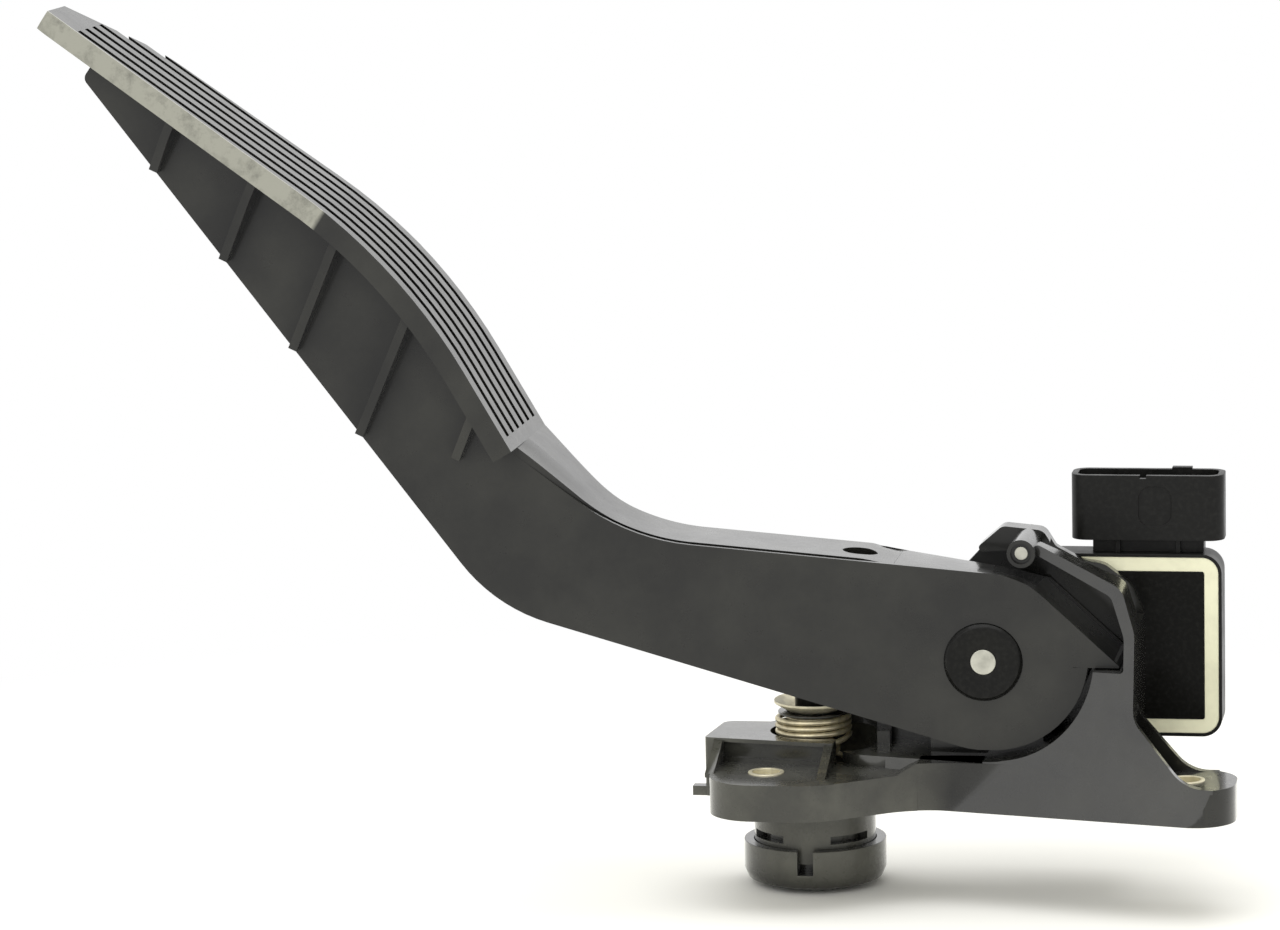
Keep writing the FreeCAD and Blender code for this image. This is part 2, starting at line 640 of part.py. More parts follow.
def tower():
    half = TOWER_W / 2
    neck = side([(-TOWER_R, 0, 0), (-TOWER_FOOT / 2, DECK_Z - OVER, 0), (TOWER_FOOT / 2, DECK_Z - OVER, 0),
                 (TOWER_R, 0, 0)], -half, half)
    return [neck, rod(TOWER_R, 0, 0, -half, half)]


def flares():
    """Two ribs that run from the end wall down to the right tab."""
    reach = RIGHT_END - TAB_CORNER_R / 2
    low = TAB_TOP - OVER
    corners = [(LEDGE_TO_WALL, LEDGE_Z, 0), (END_WALL_X, LEDGE_Z, 0),
               (END_WALL_X, TAB_TOP + FLARE_H, FLARE_TOP_R), (END_WALL_X + FLARE_W, TAB_TOP, FLARE_FOOT_R),
               (reach, TAB_TOP, 0), (reach, low, 0), (LEDGE_TO_WALL, low, 0)]
    blank = side(corners, -REACH, 0)
    near = blank.common(before_face(FLARE_T, LEDGE_TO_WALL - OVER, reach + OVER))
    near = near.cut(before_face(0, LEDGE_TO_WALL - OVER, reach + OVER))
    back = BOLT_Y + TAB_R
    return [near, side(corners, back - FLARE_T, back)]


def block_front(x):
    """Depth of the spring block's slanted front face."""
    return BOLT_Y + BLOCK_FRONT - BLOCK_SLANT * (x - BLOCK_LEFT)


def block():
    """Raised block round the spring's well, with a sunk panel between two ribs."""
    outline = [(BLOCK_LEFT, block_front(BLOCK_LEFT), BLOCK_EDGE_R),
               (BLOCK_RIGHT, block_front(BLOCK_RIGHT), BLOCK_EDGE_R), (BLOCK_RIGHT, BLOCK_FAR, 0),
               (BLOCK_LEFT + BLOCK_RIB_T, BLOCK_FAR, BLOCK_BACK_R)]
    body = plan(outline, GROUND, BLOCK_TOP)
    left = BLOCK_LEFT + BLOCK_RIB_SET
    right = BLOCK_RIGHT - BLOCK_RIB_T
    start = left + BLOCK_RIB_T
    panel = [(start, block_front(start) - OVER, 0), (right, block_front(right) - OVER, 0),
             (right, block_front(right) + PANEL_SUNK, 0), (start, block_front(start) + PANEL_SUNK, 0)]
    ribs = []
    for x in (left, right):
        back = block_front(x) + OVER
        toe = block_front(x) - BLOCK_RIB_REACH
        points = [Vector(x, back, BLOCK_TOP), Vector(x, back, TAB_TOP - OVER), Vector(x, toe, TAB_TOP - OVER),
                  Vector(x, toe, TAB_TOP)]
        ribs.append(Part.Face(Part.makePolygon(points + points[:1])).extrude(Vector(BLOCK_RIB_T, 0, 0)))
    nub = Part.makeBox(NUB[0] + OVER, NUB[1], NUB[2], Vector(BLOCK_LEFT - NUB[0], NUB_Y, GROUND))
    return [body.cut(plan(panel, TAB_TOP + PANEL_EDGE, BLOCK_TOP - PANEL_EDGE)), nub] + ribs


def well_back():
    """Wall round the far half of the spring's well, and the screen that stands on it."""
    reach = WELL_R + WELL_WALL
    left = SPRING_X - reach
    right = SPRING_X + WELL_SHIFT + reach
    far = SPRING_Y + reach
    wall = plan([(left, SPRING_Y, 0), (right, SPRING_Y, 0), (right, far, WELL_R), (left, far, WELL_R)],
                GROUND, BLOCK_TOP)
    screen = plan(SCREEN_NEAR + SCREEN_BACK, GROUND, SCREEN_TOP)
    left_end = SCREEN_NEAR[0][0]
    right_end = SCREEN_NEAR[-1][0]
    outline = [(left_end, GROUND, 0), (left_end, SCREEN_TOP, SCREEN_CORNER), (right_end, SCREEN_TOP, 0),
               (right_end, GROUND, 0)]
    return [wall, screen.common(side(outline, 0, REACH))]


def well():
    """Long-ended hole that lets the swinging spring seat down into the housing."""
    low = GROUND - OVER
    high = BLOCK_TOP + OVER
    ends = [post(WELL_R, SPRING_X + shift, SPRING_Y, low, high) for shift in (0, WELL_SHIFT)]
    slot = box(SPRING_X, SPRING_X + WELL_SHIFT, SPRING_Y - WELL_R, SPRING_Y + WELL_R, low, high)
    return join(ends + [slot])


def windows():
    """Slots round the spigot above the cap ring."""
    ring = post(SPIGOT_R + OVER, SPRING_X, SPRING_Y, GROUND - WINDOW_TOP - WINDOW_H, GROUND - WINDOW_TOP)
    half = math.radians(WINDOW_ANGLE / 2)
    far = SPIGOT_R * 2
    wedges = []
    for index in range(WINDOW_COUNT):
        middle = 2 * math.pi * (index + 0.5) / WINDOW_COUNT
        points = [Vector(0, 0, 0)]
        for turn in (-half, half):
            points.append(Vector(far * math.cos(middle + turn), far * math.sin(middle + turn), 0))
        wedge = Part.Face(Part.makePolygon(points + points[:1])).extrude(Vector(0, 0, REACH))
        wedge.translate(Vector(SPRING_X, SPRING_Y, GROUND - REACH / 2))
        wedges.append(wedge)
    return ring.common(Part.makeCompound(wedges))


def base_housing():
    spigot_in = SPIGOT_R - SPIGOT_WALL
    body = [foot_plan(TAB_TOP), end_frame()] + flares()
    body = join(body).cut(before_face(0, WAIST_X, RIGHT_END + OVER))
    spigot = post(SPIGOT_R, SPRING_X, SPRING_Y, GROUND - SPIGOT_REACH, GROUND)
    bosses = [rod(EAR_R, x, z, FAR_WALL_Y, SENSOR_Y) for x, z in SENSOR_EARS]
    pieces = [body, spigot, lug()] + far_wall() + tower() + block() + well_back() + bosses
    solid = join(pieces)
    cuts = [well(), post(spigot_in, SPRING_X, SPRING_Y, GROUND - SPIGOT_REACH - OVER, GROUND)]
    cuts.append(windows())
    latch_top = GROUND - CAP_RING_TOP - CAP_NOTCH_TOP
    cuts.append(box(SPRING_X - CAP_NOTCH_W / 2, SPRING_X + CAP_NOTCH_W / 2, SPRING_Y - SPIGOT_R - OVER,
                    SPRING_Y - spigot_in + OVER, GROUND - CAP_RING_TOP - CAP_NOTCH_H, latch_top))
    for x in (LEFT_BOLT_X, RIGHT_BOLT_X):
        cuts.append(post(SLEEVE_OUTER_R, x, BOLT_Y, GROUND - OVER, TAB_TOP + OVER))
    cuts.append(rod(SHAFT_R + BUSH_WALL, 0, 0, -TOWER_W, REACH))
    cuts.append(rod(LUG_PIN_R, LUG[0], LUG[1], LUG_FRONT - OVER, LUG_PIN_END))
    for x, z in SENSOR_EARS:
        cuts.append(rod(SCREW_R, x, z, SENSOR_Y - SCREW_TIP, REACH))
    return solid.cut(cuts)


# Small pieces of the housing

def mount_sleeves():
    tubes = []
    for x in (LEFT_BOLT_X, RIGHT_BOLT_X):
        tube = post(SLEEVE_OUTER_R, x, BOLT_Y, GROUND, TAB_TOP + SLEEVE_PROUD)
        tubes.append(tube.cut(post(SLEEVE_OUTER_R - SLEEVE_WALL, x, BOLT_Y, GROUND - OVER, TAB_TOP + OVER)))
    return Part.makeCompound(tubes)


def lug_pin():
    return rod(LUG_PIN_R, LUG[0], LUG[1], LUG_FRONT + LUG_PIN_SUNK, LUG_PIN_END)


# Return springs

def spring_cap():
    """Cup that closes the spigot and carries the lower ends of both springs."""
    bottom = GROUND - CAP_RING_BOTTOM
    top = GROUND - CAP_RING_TOP
    ring_in = SPIGOT_R + FIT
    sleeve_out = SPIGOT_R - SPIGOT_WALL - FIT
    sleeve_in = sleeve_out - CAP_SLEEVE_T
    sleeve_top = GROUND - WINDOW_TOP
    slot = GROUND - SPIGOT_REACH - FIT
    turn = CAP_ROUND * (1 - math.sqrt(0.5))
    profile = [(0, bottom), (CAP_RING_R - CAP_ROUND, bottom), (CAP_RING_R - turn, bottom + turn),
               (CAP_RING_R, bottom + CAP_ROUND), (CAP_RING_R, top), (ring_in, top), (ring_in, slot),
               (sleeve_out, slot), (sleeve_out, sleeve_top), (sleeve_in, sleeve_top),
               (sleeve_in, CAP_FLOOR_Z), (PILOT_R, CAP_FLOOR_Z), (PILOT_R, CAP_FLOOR_Z + PILOT_H),
               (0, CAP_FLOOR_Z + PILOT_H)]
    notch = box(SPRING_X - CAP_NOTCH_W / 2, SPRING_X + CAP_NOTCH_W / 2, SPRING_Y - CAP_RING_R - OVER,
                SPRING_Y - ring_in + OVER, top - CAP_NOTCH_H, top + OVER)
    notch = notch.cut(post(SPIGOT_R, SPRING_X, SPRING_Y, bottom, top + REACH))
    return turned(profile, SPRING_X, SPRING_Y).cut(notch)


def wire_section(mean_r, wire_r, turn, z):
    """Cross-section of a spring's wire, after a number of turns."""
    points = []
    for index in range(WIRE_SIDES):
        out, rise = along((mean_r, z), 360 * (index + 0.5) / WIRE_SIDES, wire_r)
        x, y = along((SPRING_X, SPRING_Y), 360 * turn, out)
        points.append(Vector(x, y, rise))
    return Part.makePolygon(points + points[:1])


def coil(mean_r, wire_r, turns, top_turns, z0, z1):
    """Compression spring between two seats: one close turn below, some close turns above."""
    close = 2 * wire_r + COIL_GAP
    open_turns = turns - 1 - top_turns
    open_pitch = (z1 - z0 - 2 * wire_r - close * (1 + top_turns)) / open_turns
    sections = []
    for step in range(round(turns * COIL_STEPS) + 1):
        turn = step / COIL_STEPS
        opened = min(max(turn - 1, 0), open_turns)
        z = z0 + wire_r + close * (turn - opened) + open_pitch * opened
        sections.append(wire_section(mean_r, wire_r, turn, z))
    return Part.makeLoft(sections, True, True)


def outer_return_spring():
    return coil(OUTER_MEAN_R, OUTER_WIRE_R, OUTER_TURNS, OUTER_TOP_TURNS, CAP_FLOOR_Z, SEAT_Z)


def inner_return_spring():
    return coil(INNER_MEAN_R, INNER_WIRE_R, INNER_TURNS, INNER_TOP_TURNS, CAP_FLOOR_Z, SEAT_Z)


def spring_plug():
    """Plug between the upper seat and the springs, with a pilot inside the inner one."""
    profile = [(0, SEAT_Z - PILOT_H), (PILOT_R, SEAT_Z - PILOT_H), (PILOT_R, SEAT_Z), (PLUG_R, SEAT_Z),
               (PLUG_R, SEAT_Z + PLUG_T), (0, SEAT_Z + PLUG_T)]
    return turned(profile, SPRING_X, SPRING_Y)


def upper_spring_seat():
    """Dished washer between the arm's post and the plug."""
    low = SEAT_Z + PLUG_T
    profile = [(0, low), (SEAT_FLAT_R, low), (SEAT_R, low + SEAT_DISH), (SEAT_R, low + SEAT_DISH + SEAT_T),
               (SEAT_FLAT_R, low + SEAT_T), (0, low + SEAT_T)]
    return turned(profile, SPRING_X, SPRING_Y)


# Pivot

def pivot_shaft():
    shoulder = CAP_SINK - HALF_W
    nose = rod(SHAFT_NOSE_R, 0, 0, shoulder - CAP_T + CAP_DISH, shoulder)
    end = SENSOR_Y + ROTOR_SET + ROTOR_T
    shaft = join([nose, rod(SHAFT_R, 0, 0, shoulder, end)])
    flat = SHAFT_R - FLAT_DEPTH
    return shaft.cut(box(-SHAFT_R, SHAFT_R, SENSOR_Y + ROTOR_SET, end + OVER, flat, SHAFT_R + OVER))


def pivot_cap():
    """Dished head on the near end of the shaft, sunk into the arm's cheek."""
    inner = CAP_SINK - HALF_W
    outer = inner - CAP_T
    rim = Part.makeCone(CAP_R - CAP_DISH, CAP_R, CAP_DISH, Vector(0, outer, 0), Y_AXIS)
    disc = join([rim, rod(CAP_R, 0, 0, outer + CAP_DISH, inner)])
    dish = Part.makeCone(CAP_R - 2 * CAP_DISH, SHAFT_NOSE_R, CAP_DISH, Vector(0, outer, 0), Y_AXIS)
    return disc.cut([dish, rod(SHAFT_NOSE_R, 0, 0, outer - OVER, inner + OVER)])


def pivot_bushes():
    bushes = []
    face = TOWER_W / 2
    for sign in (-1, 1):
        sleeve = rod(SHAFT_R + BUSH_WALL, 0, 0, face - BUSH_LENGTH, face + BUSH_FLANGE_T)
        flange = rod(BUSH_FLANGE_R, 0, 0, face, face + BUSH_FLANGE_T)
        bush = join([sleeve, flange]).cut(rod(SHAFT_R + RUN, 0, 0, 0, TOWER_W))
        if sign < 0:
            bush.rotate(Vector(0, 0, 0), Z_AXIS, 180)
        bushes.append(bush)
    return Part.makeCompound(bushes)


def thrust_washers():
    washers = []
    for y in (-CHEEK_Y, CHEEK_Y - WASHER_T):
        washers.append(rod(WASHER_R, 0, 0, y, y + WASHER_T).cut(rod(SHAFT_R, 0, 0, -REACH, REACH)))
    return Part.makeCompound(washers)


def shaft_seal():
    ring = rod(SHAFT_R + BUSH_WALL, 0, 0, FAR_WALL_Y, SENSOR_Y)
    return ring.cut(rod(SHAFT_R + RUN, 0, 0, -REACH, REACH))


# Sensor

def sensor_face(inset, y):
    """Outline of the sensor's tray, made smaller by an inset."""
    corners = [(SENSOR_RIGHT, SENSOR_TOP, SENSOR_CORNER), (SENSOR_RIGHT, SENSOR_BOTTOM, SENSOR_CORNER)]
    corners += [(SHOULDER_X, SENSOR_BOTTOM, SHOULDER_R), (LOBE_LEFT, LOBE_LOW, LOBE_R)]
    corners += [(LOBE_LEFT, LOBE_HIGH, LOBE_R), (SHOULDER_X, SENSOR_TOP, SHOULDER_R)]
    face = flat_face(corners, lambda p: Vector(p.x, y, p.y))
    return face.makeOffset2D(-inset) if inset else face


def sensor_layer(inset, y0, y1):
    return sensor_face(inset, SENSOR_Y + y0).extrude(Vector(0, y1 - y0, 0))


SHROUD_X = SHROUD_RIGHT - SHROUD_W / 2
SHROUD_Y = SENSOR_Y + SHROUD_SET
SHROUD_Z = SHROUD_TOP - SHROUD_H
SOCKET_Z = SHROUD_Z + SHROUD_FLOOR
BOARD_Y = SENSOR_DEPTH - SENSOR_BACK_T - BOARD_T


def shroud_block(inset, z0, z1):
    """Upright block with the plan of the connector's shroud, made smaller by an inset."""
    half = SHROUD_W / 2 - inset
    near = SHROUD_Y + inset
    far = SHROUD_Y + SHROUD_D - inset
    radius = SHROUD_CORNER - inset
    corners = [(SHROUD_X - half, near, radius), (SHROUD_X + half, near, radius),
               (SHROUD_X + half, far, radius), (SHROUD_X - half, far, radius)]
    return plan(corners, z0, z1)


def connector_terminals():
    """Straight blades from the board up through the neck into the connector's socket."""
    blades = []
    far = SENSOR_Y + BOARD_Y
    foot = SENSOR_TOP - SENSOR_LEDGE - BOARD_MARGIN - BLADE_FOOT
    for index in range(BLADE_COUNT):
        x = SHROUD_X + BLADE_PITCH * (index - (BLADE_COUNT - 1) / 2) - BLADE_W / 2
        blades.append(box(x, x + BLADE_W, far - BLADE_T, far, foot, SOCKET_Z + BLADE_REACH))
    return Part.makeCompound(blades)


def connector_neck():
    """Narrow foot of the shroud, with two ribs on its near face."""
    near = SENSOR_Y + NECK_SET
    low = SENSOR_TOP - SENSOR_RIM
    high = SHROUD_Z + SHROUD_WALL
    pieces = [box(SHROUD_X - NECK_W / 2, SHROUD_X + NECK_W / 2, near, near + NECK_D, low, high)]
    for middle in (SHROUD_X - NECK_RIB_FROM_MID, SHROUD_X + NECK_RIB_FROM_MID):
        half = NECK_RIB_T / 2
        pieces.append(box(middle - half, middle + half, near - NECK_RIB_PROUD, near + OVER, low, high))
    return pieces


def connector_latch():
    """Catch for the plug on the shroud's far face."""
    left = SHROUD_X + LATCH_FROM_MID
    far = SHROUD_Y + SHROUD_D
    top = SHROUD_TOP + LATCH_OVER_RIM
    return box(left, left + LATCH_W, far - SHROUD_WALL, far + LATCH_PROUD, top - LATCH_H, top)


def sensor_housing():
    tray = sensor_layer(0, 0, SENSOR_DEPTH)
    ears = [rod(EAR_R, x, z, SENSOR_Y, SENSOR_Y + EAR_T_SENSOR) for x, z in SENSOR_EARS]
    shroud = shroud_block(0, SHROUD_Z, SHROUD_TOP)
    solid = join([tray, shroud, connector_latch()] + connector_neck() + ears)
    cuts = [sensor_layer(SENSOR_RIM, -OVER, COVER_T)]
    cuts.append(sensor_layer(SENSOR_LEDGE, 0, SENSOR_DEPTH - SENSOR_BACK_T))
    cuts.append(shroud_block(SHROUD_WALL, SOCKET_Z, SHROUD_TOP + OVER))
    cuts.append(box(NOTCH_X - NOTCH_W / 2, NOTCH_X + NOTCH_W / 2, SHROUD_Y - OVER,
                    SHROUD_Y + SHROUD_WALL + OVER, SHROUD_TOP - NOTCH_DEPTH, SHROUD_TOP + OVER))
    left, right, low, high = RECESS
    field = [(left, low, RECESS_R), (right, low, RECESS_R), (right, high, RECESS_R), (left, high, RECESS_R)]
    cuts.append(side(field, SHROUD_Y - OVER, SHROUD_Y + RECESS_DEPTH))
    for x, z in SENSOR_EARS:
        cuts.append(rod(SCREW_R + FIT, x, z, -REACH, REACH))
    cuts.extend(connector_terminals().Solids)
    return solid.cut(cuts)


def sensor_sealant():
    outer = sensor_layer(SENSOR_RIM, COVER_T - SEALANT_T, COVER_T)
    return outer.cut(sensor_layer(SENSOR_RIM + SEALANT_W, -OVER, COVER_T + OVER))


def sensor_cover():
    plate = sensor_layer(SENSOR_RIM + SEALANT_W, 0, COVER_T)
    return plate.cut(rod(SHAFT_HOLE_R, 0, 0, -REACH, REACH))


def sensor_board():
    return sensor_layer(SENSOR_LEDGE + BOARD_MARGIN, BOARD_Y, BOARD_Y + BOARD_T)


def sensor_rotor():
    near = SENSOR_Y + ROTOR_SET
    return rod(ROTOR_R, 0, 0, near, near + ROTOR_T).cut(pivot_shaft())


def rotor_wipers():
    """Spring contacts on the rotor's far face that point at the board's tracks."""
    near = SENSOR_Y + ROTOR_SET + ROTOR_T
    tip = SENSOR_Y + BOARD_Y - WIPER_GAP
    wipers = []
    for sign in (-1, 1):
        x = sign * WIPER_R - WIPER_W / 2
        strip = box(x, x + WIPER_W, near, near + WIPER_T, -WIPER_LENGTH / 2, WIPER_LENGTH / 2)
        finger = box(x, x + WIPER_W, near, tip, WIPER_LENGTH / 2 - WIPER_T, WIPER_LENGTH / 2)
        wipers.append(join([strip, finger]))
    return Part.makeCompound(wipers)


def sensor_screws():
    head_y = SENSOR_Y + EAR_T_SENSOR
    screws = []
    for x, z in SENSOR_EARS:
        screw = join([rod(SCREW_R, x, z, SENSOR_Y - SCREW_TIP, head_y),
                      rod(SCREW_HEAD_R, x, z, head_y, head_y + SCREW_HEAD_T)])
        half = SCREW_SOCKET_W / 2
        end = head_y + SCREW_HEAD_T
        socket = box(x - half, x + half, end - SCREW_SOCKET_DEPTH, end + OVER, z - half, z + half)
        screws.append(screw.cut(socket))
    return Part.makeCompound(screws)


PIECES = [pedal_arm, pivot_shaft, pivot_cap, thrust_washers, upper_spring_seat, spring_plug, sensor_rotor,
          rotor_wipers, base_housing, mount_sleeves, lug_pin, spring_cap, outer_return_spring,
          inner_return_spring, pivot_bushes, shaft_seal, sensor_housing, sensor_cover, sensor_sealant,
          sensor_board, connector_terminals, sensor_screws]

os.makedirs("parts", exist_ok=True)
for make in PIECES:
    shape = make()
    shape.translate(Vector(PIVOT_FROM_MID, PIVOT_BEHIND_BOLTS, PIVOT_HEIGHT))
    print(make.__name__, shape.isValid(), len(shape.Solids), round(shape.Volume), shape.BoundBox)
    shape.exportStep("parts/" + make.__name__ + ".step")
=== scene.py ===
"""Looks of an accelerator pedal with its position sensor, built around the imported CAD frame."""

import math

import bmesh
import bpy
from mathutils import Matrix, Vector


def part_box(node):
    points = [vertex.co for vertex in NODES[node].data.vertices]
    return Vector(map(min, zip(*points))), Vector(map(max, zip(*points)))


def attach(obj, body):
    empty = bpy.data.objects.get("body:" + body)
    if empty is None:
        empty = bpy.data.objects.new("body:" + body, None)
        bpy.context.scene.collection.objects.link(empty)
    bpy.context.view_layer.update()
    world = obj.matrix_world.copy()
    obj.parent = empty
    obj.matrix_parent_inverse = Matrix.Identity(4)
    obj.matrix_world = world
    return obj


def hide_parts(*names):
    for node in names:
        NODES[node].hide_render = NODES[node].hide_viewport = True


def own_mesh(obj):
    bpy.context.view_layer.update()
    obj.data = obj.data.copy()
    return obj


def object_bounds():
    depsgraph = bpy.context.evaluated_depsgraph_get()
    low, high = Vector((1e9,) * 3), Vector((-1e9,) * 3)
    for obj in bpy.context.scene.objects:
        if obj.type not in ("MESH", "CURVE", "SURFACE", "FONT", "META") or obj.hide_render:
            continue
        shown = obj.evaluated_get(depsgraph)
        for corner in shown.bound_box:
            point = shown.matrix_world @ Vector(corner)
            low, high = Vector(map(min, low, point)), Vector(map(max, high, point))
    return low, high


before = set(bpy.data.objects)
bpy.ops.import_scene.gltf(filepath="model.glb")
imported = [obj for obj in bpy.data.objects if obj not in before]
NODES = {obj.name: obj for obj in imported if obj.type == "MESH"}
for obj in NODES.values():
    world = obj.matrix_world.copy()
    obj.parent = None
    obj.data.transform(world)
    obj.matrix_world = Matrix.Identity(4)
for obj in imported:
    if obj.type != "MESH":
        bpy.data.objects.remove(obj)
CAD_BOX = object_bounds()

bl_info = {
    "name": "Accelerator pedal looks",
    "version": (1, 0, 0),
    "blender": (4, 5, 0),
    "location": "View3D > Sidebar > Pedal",
    "description": "Finishes, springs, studio and camera of an accelerator pedal unit",
    "category": "Object",
}

MM = 0.001


# Settings

class PedalColours(bpy.types.PropertyGroup):
    nylon: bpy.props.StringProperty(
        name="Nylon", description="Glass-filled nylon of the lever, sRGB hex", default="1C1C1A")
    nylon_bloom: bpy.props.StringProperty(
        name="Nylon bloom", description="Paler, dusty patches on the lever, sRGB hex", default="30302C")
    base_nylon: bpy.props.StringProperty(
        name="Base nylon", description="Glass-filled nylon of base and spring cap, sRGB hex",
        default="1B1B19")
    base_bloom: bpy.props.StringProperty(
        name="Base bloom", description="Paler, dusty patches on the base, sRGB hex", default="2F2F2B")
    # Painted sheen: the base painted paler left of its waist, where its faces catch more light
    left_sheen_nylon: bpy.props.StringProperty(
        name="Dusty nylon", description="The base's nylon left of its waist, sRGB hex", default="383834")
    left_sheen_bloom: bpy.props.StringProperty(
        name="Dusty bloom", description="Paler patches left of the waist, sRGB hex", default="5E5E56")
    polyester: bpy.props.StringProperty(
        name="Polyester", description="Black polyester of sensor and shroud, sRGB hex", default="131312")
    zinc: bpy.props.StringProperty(
        name="Zinc", description="Zinc plate on pin, shaft and screws, sRGB hex", default="C4C3B7")
    chromate: bpy.props.StringProperty(
        name="Chromate", description="Pale yellow zinc plate on sleeves and spring seat, sRGB hex",
        default="EFE8CC")
    wire: bpy.props.StringProperty(
        name="Spring wire", description="Drawn spring wire, sRGB hex", default="EADFBD")
    silicone: bpy.props.StringProperty(
        name="Silicone", description="Poured sealant round the sensor cover, sRGB hex", default="F6F5D8")
    acetal: bpy.props.StringProperty(
        name="Acetal", description="Natural acetal of bushes and rotor, sRGB hex", default="DAD8CB")
    # Painted highlight: pale colour painted on the pad's tapered near edge, in place of a lamp's reflection
    edge_highlight: bpy.props.StringProperty(
        name="Scuff", description="Rubbed, pale near edge of the pad, sRGB hex", default="98988F")
    rubber: bpy.props.StringProperty(
        name="Rubber", description="Nitrile rubber of the shaft seal, sRGB hex", default="1A1A1A")
    board: bpy.props.StringProperty(
        name="Board", description="Solder mask on the circuit board, sRGB hex", default="1F5A37")
    bronze: bpy.props.StringProperty(
        name="Bronze", description="Phosphor bronze of wipers and blades, sRGB hex", default="C9A765")


class PedalSizes(bpy.types.PropertyGroup):
    moulded_edge: bpy.props.FloatProperty(
        name="Moulded edge", description="Rounding of the edges of moulded pieces", default=0.55 * MM,
        min=0.05 * MM, unit="LENGTH", subtype="DISTANCE")
    metal_edge: bpy.props.FloatProperty(
        name="Metal edge", description="Rounding of the edges of metal pieces", default=0.18 * MM,
        min=0.02 * MM, unit="LENGTH", subtype="DISTANCE")
    grain: bpy.props.FloatProperty(
        name="Mould grain", description="Grain of the moulds' spark-eroded faces", default=0.7 * MM,
        min=0.1 * MM, unit="LENGTH", subtype="DISTANCE")


# Tools

def linear(hex_colour):
    """sRGB hex text to a linear colour with alpha."""
    values = [int(hex_colour[i:i + 2], 16) / 255 for i in (0, 2, 4)]
    return tuple(v / 12.92 if v <= 0.04045 else ((v + 0.055) / 1.055) ** 2.4 for v in values) + (1.0,)


def toned(colour, share):
    """A linear colour made darker or paler."""
    return tuple(min(1.0, c * share) for c in colour[:3]) + (1.0,)


def add_node(tree, kind, values=None, links=None, stops=(), **settings):
    """One node with its settings, its socket values, its colour stops and the sockets that feed it."""
    made = tree.nodes.new(kind)
    for key, value in settings.items():
        setattr(made, key, value)
    for key, value in (values or {}).items():
        made.inputs[key].default_value = value
    for key, source in (links or {}).items():
        tree.links.new(source, made.inputs[key])
    for index, (position, colour) in enumerate(stops):
        made.color_ramp.elements[index].position = position
        made.color_ramp.elements[index].color = colour
    return made


def new_material(name):
    """Empty material; returns it with its tree and a socket for positions in the part's frame."""
    made = bpy.data.materials.new(name)
    made.use_nodes = True
    made.node_tree.nodes.clear()
    place = add_node(made.node_tree, "ShaderNodeTexCoord").outputs["Object"]
    return made, made.node_tree, place


# Materials

# Painted highlight on the near side of the pad's tapered upper part
HIGHLIGHT_DEPTH = 0.35 * MM         # how far the painted highlight reaches in from the pad's side
HIGHLIGHT_END = -216.5 * MM         # its lower end, measured along the upper tread
HIGHLIGHT_FADE = 0.8 * MM
HIGHLIGHT_FROM = 0.1                # edge mask times wear noise at which the painted highlight starts to show
HIGHLIGHT_FULL = 0.5
TREAD_FALL = 35.5               # fall of the upper tread, degrees
PAD_TAPER = 87 * MM             # tapered part of the pad, from its tip along X
PAD_NARROWS = 3.6 * MM          # how much each side draws in over that length
LEFT_SHEEN_FROM = -16 * MM            # the base is painted paler, a painted sheen, up to here along X
LEFT_SHEEN_TO = -6 * MM               # and plain from here
MIX_FACTOR = 0                  # sockets of a Mix node set to colours
MIX_A = 6
MIX_B = 7
MIX_RESULT = 2


def pad_edge_highlight_mask(tree, place):
    """Socket that is 1 on the near edge of the pad's upper part, where a highlight is painted."""
    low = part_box("pedal_arm")[0]
    slope = PAD_NARROWS / PAD_TAPER
    kink = low.x + PAD_TAPER
    axes = add_node(tree, "ShaderNodeSeparateXYZ", links={"Vector": place}).outputs
    drawn_in = add_node(tree, "ShaderNodeMath", {1: slope, 2: -low.y - slope * kink}, {0: axes["X"]},
                        operation="MULTIPLY_ADD")
    depth = add_node(tree, "ShaderNodeMath", links={0: axes["Y"], 1: drawn_in.outputs[0]}, operation="ADD")
    outside = add_node(tree, "ShaderNodeMapRange", {"From Min": 2 * HIGHLIGHT_DEPTH, "From Max": HIGHLIGHT_DEPTH},
                       {"Value": depth.outputs[0]})
    fall = math.radians(TREAD_FALL)
    along = add_node(tree, "ShaderNodeVectorMath", {1: (math.cos(fall), 0, -math.sin(fall))}, {0: place},
                     operation="DOT_PRODUCT")
    upper = add_node(tree, "ShaderNodeMapRange",
                     {"From Min": HIGHLIGHT_END + HIGHLIGHT_FADE, "From Max": HIGHLIGHT_END - HIGHLIGHT_FADE},
                     {"Value": along.outputs["Value"]})
    return add_node(tree, "ShaderNodeMath", links={0: outside.outputs["Result"], 1: upper.outputs["Result"]},
                    operation="MULTIPLY").outputs[0]


def left_sheen_mask(tree, place):
    """Socket that is 1 on the base left of its waist, where a sheen is painted, and 0 right of it."""
    along = add_node(tree, "ShaderNodeSeparateXYZ", links={"Vector": place}).outputs["X"]
    return add_node(tree, "ShaderNodeMapRange", {"From Min": LEFT_SHEEN_TO, "From Max": LEFT_SHEEN_FROM},
                    {"Value": along}).outputs["Result"]


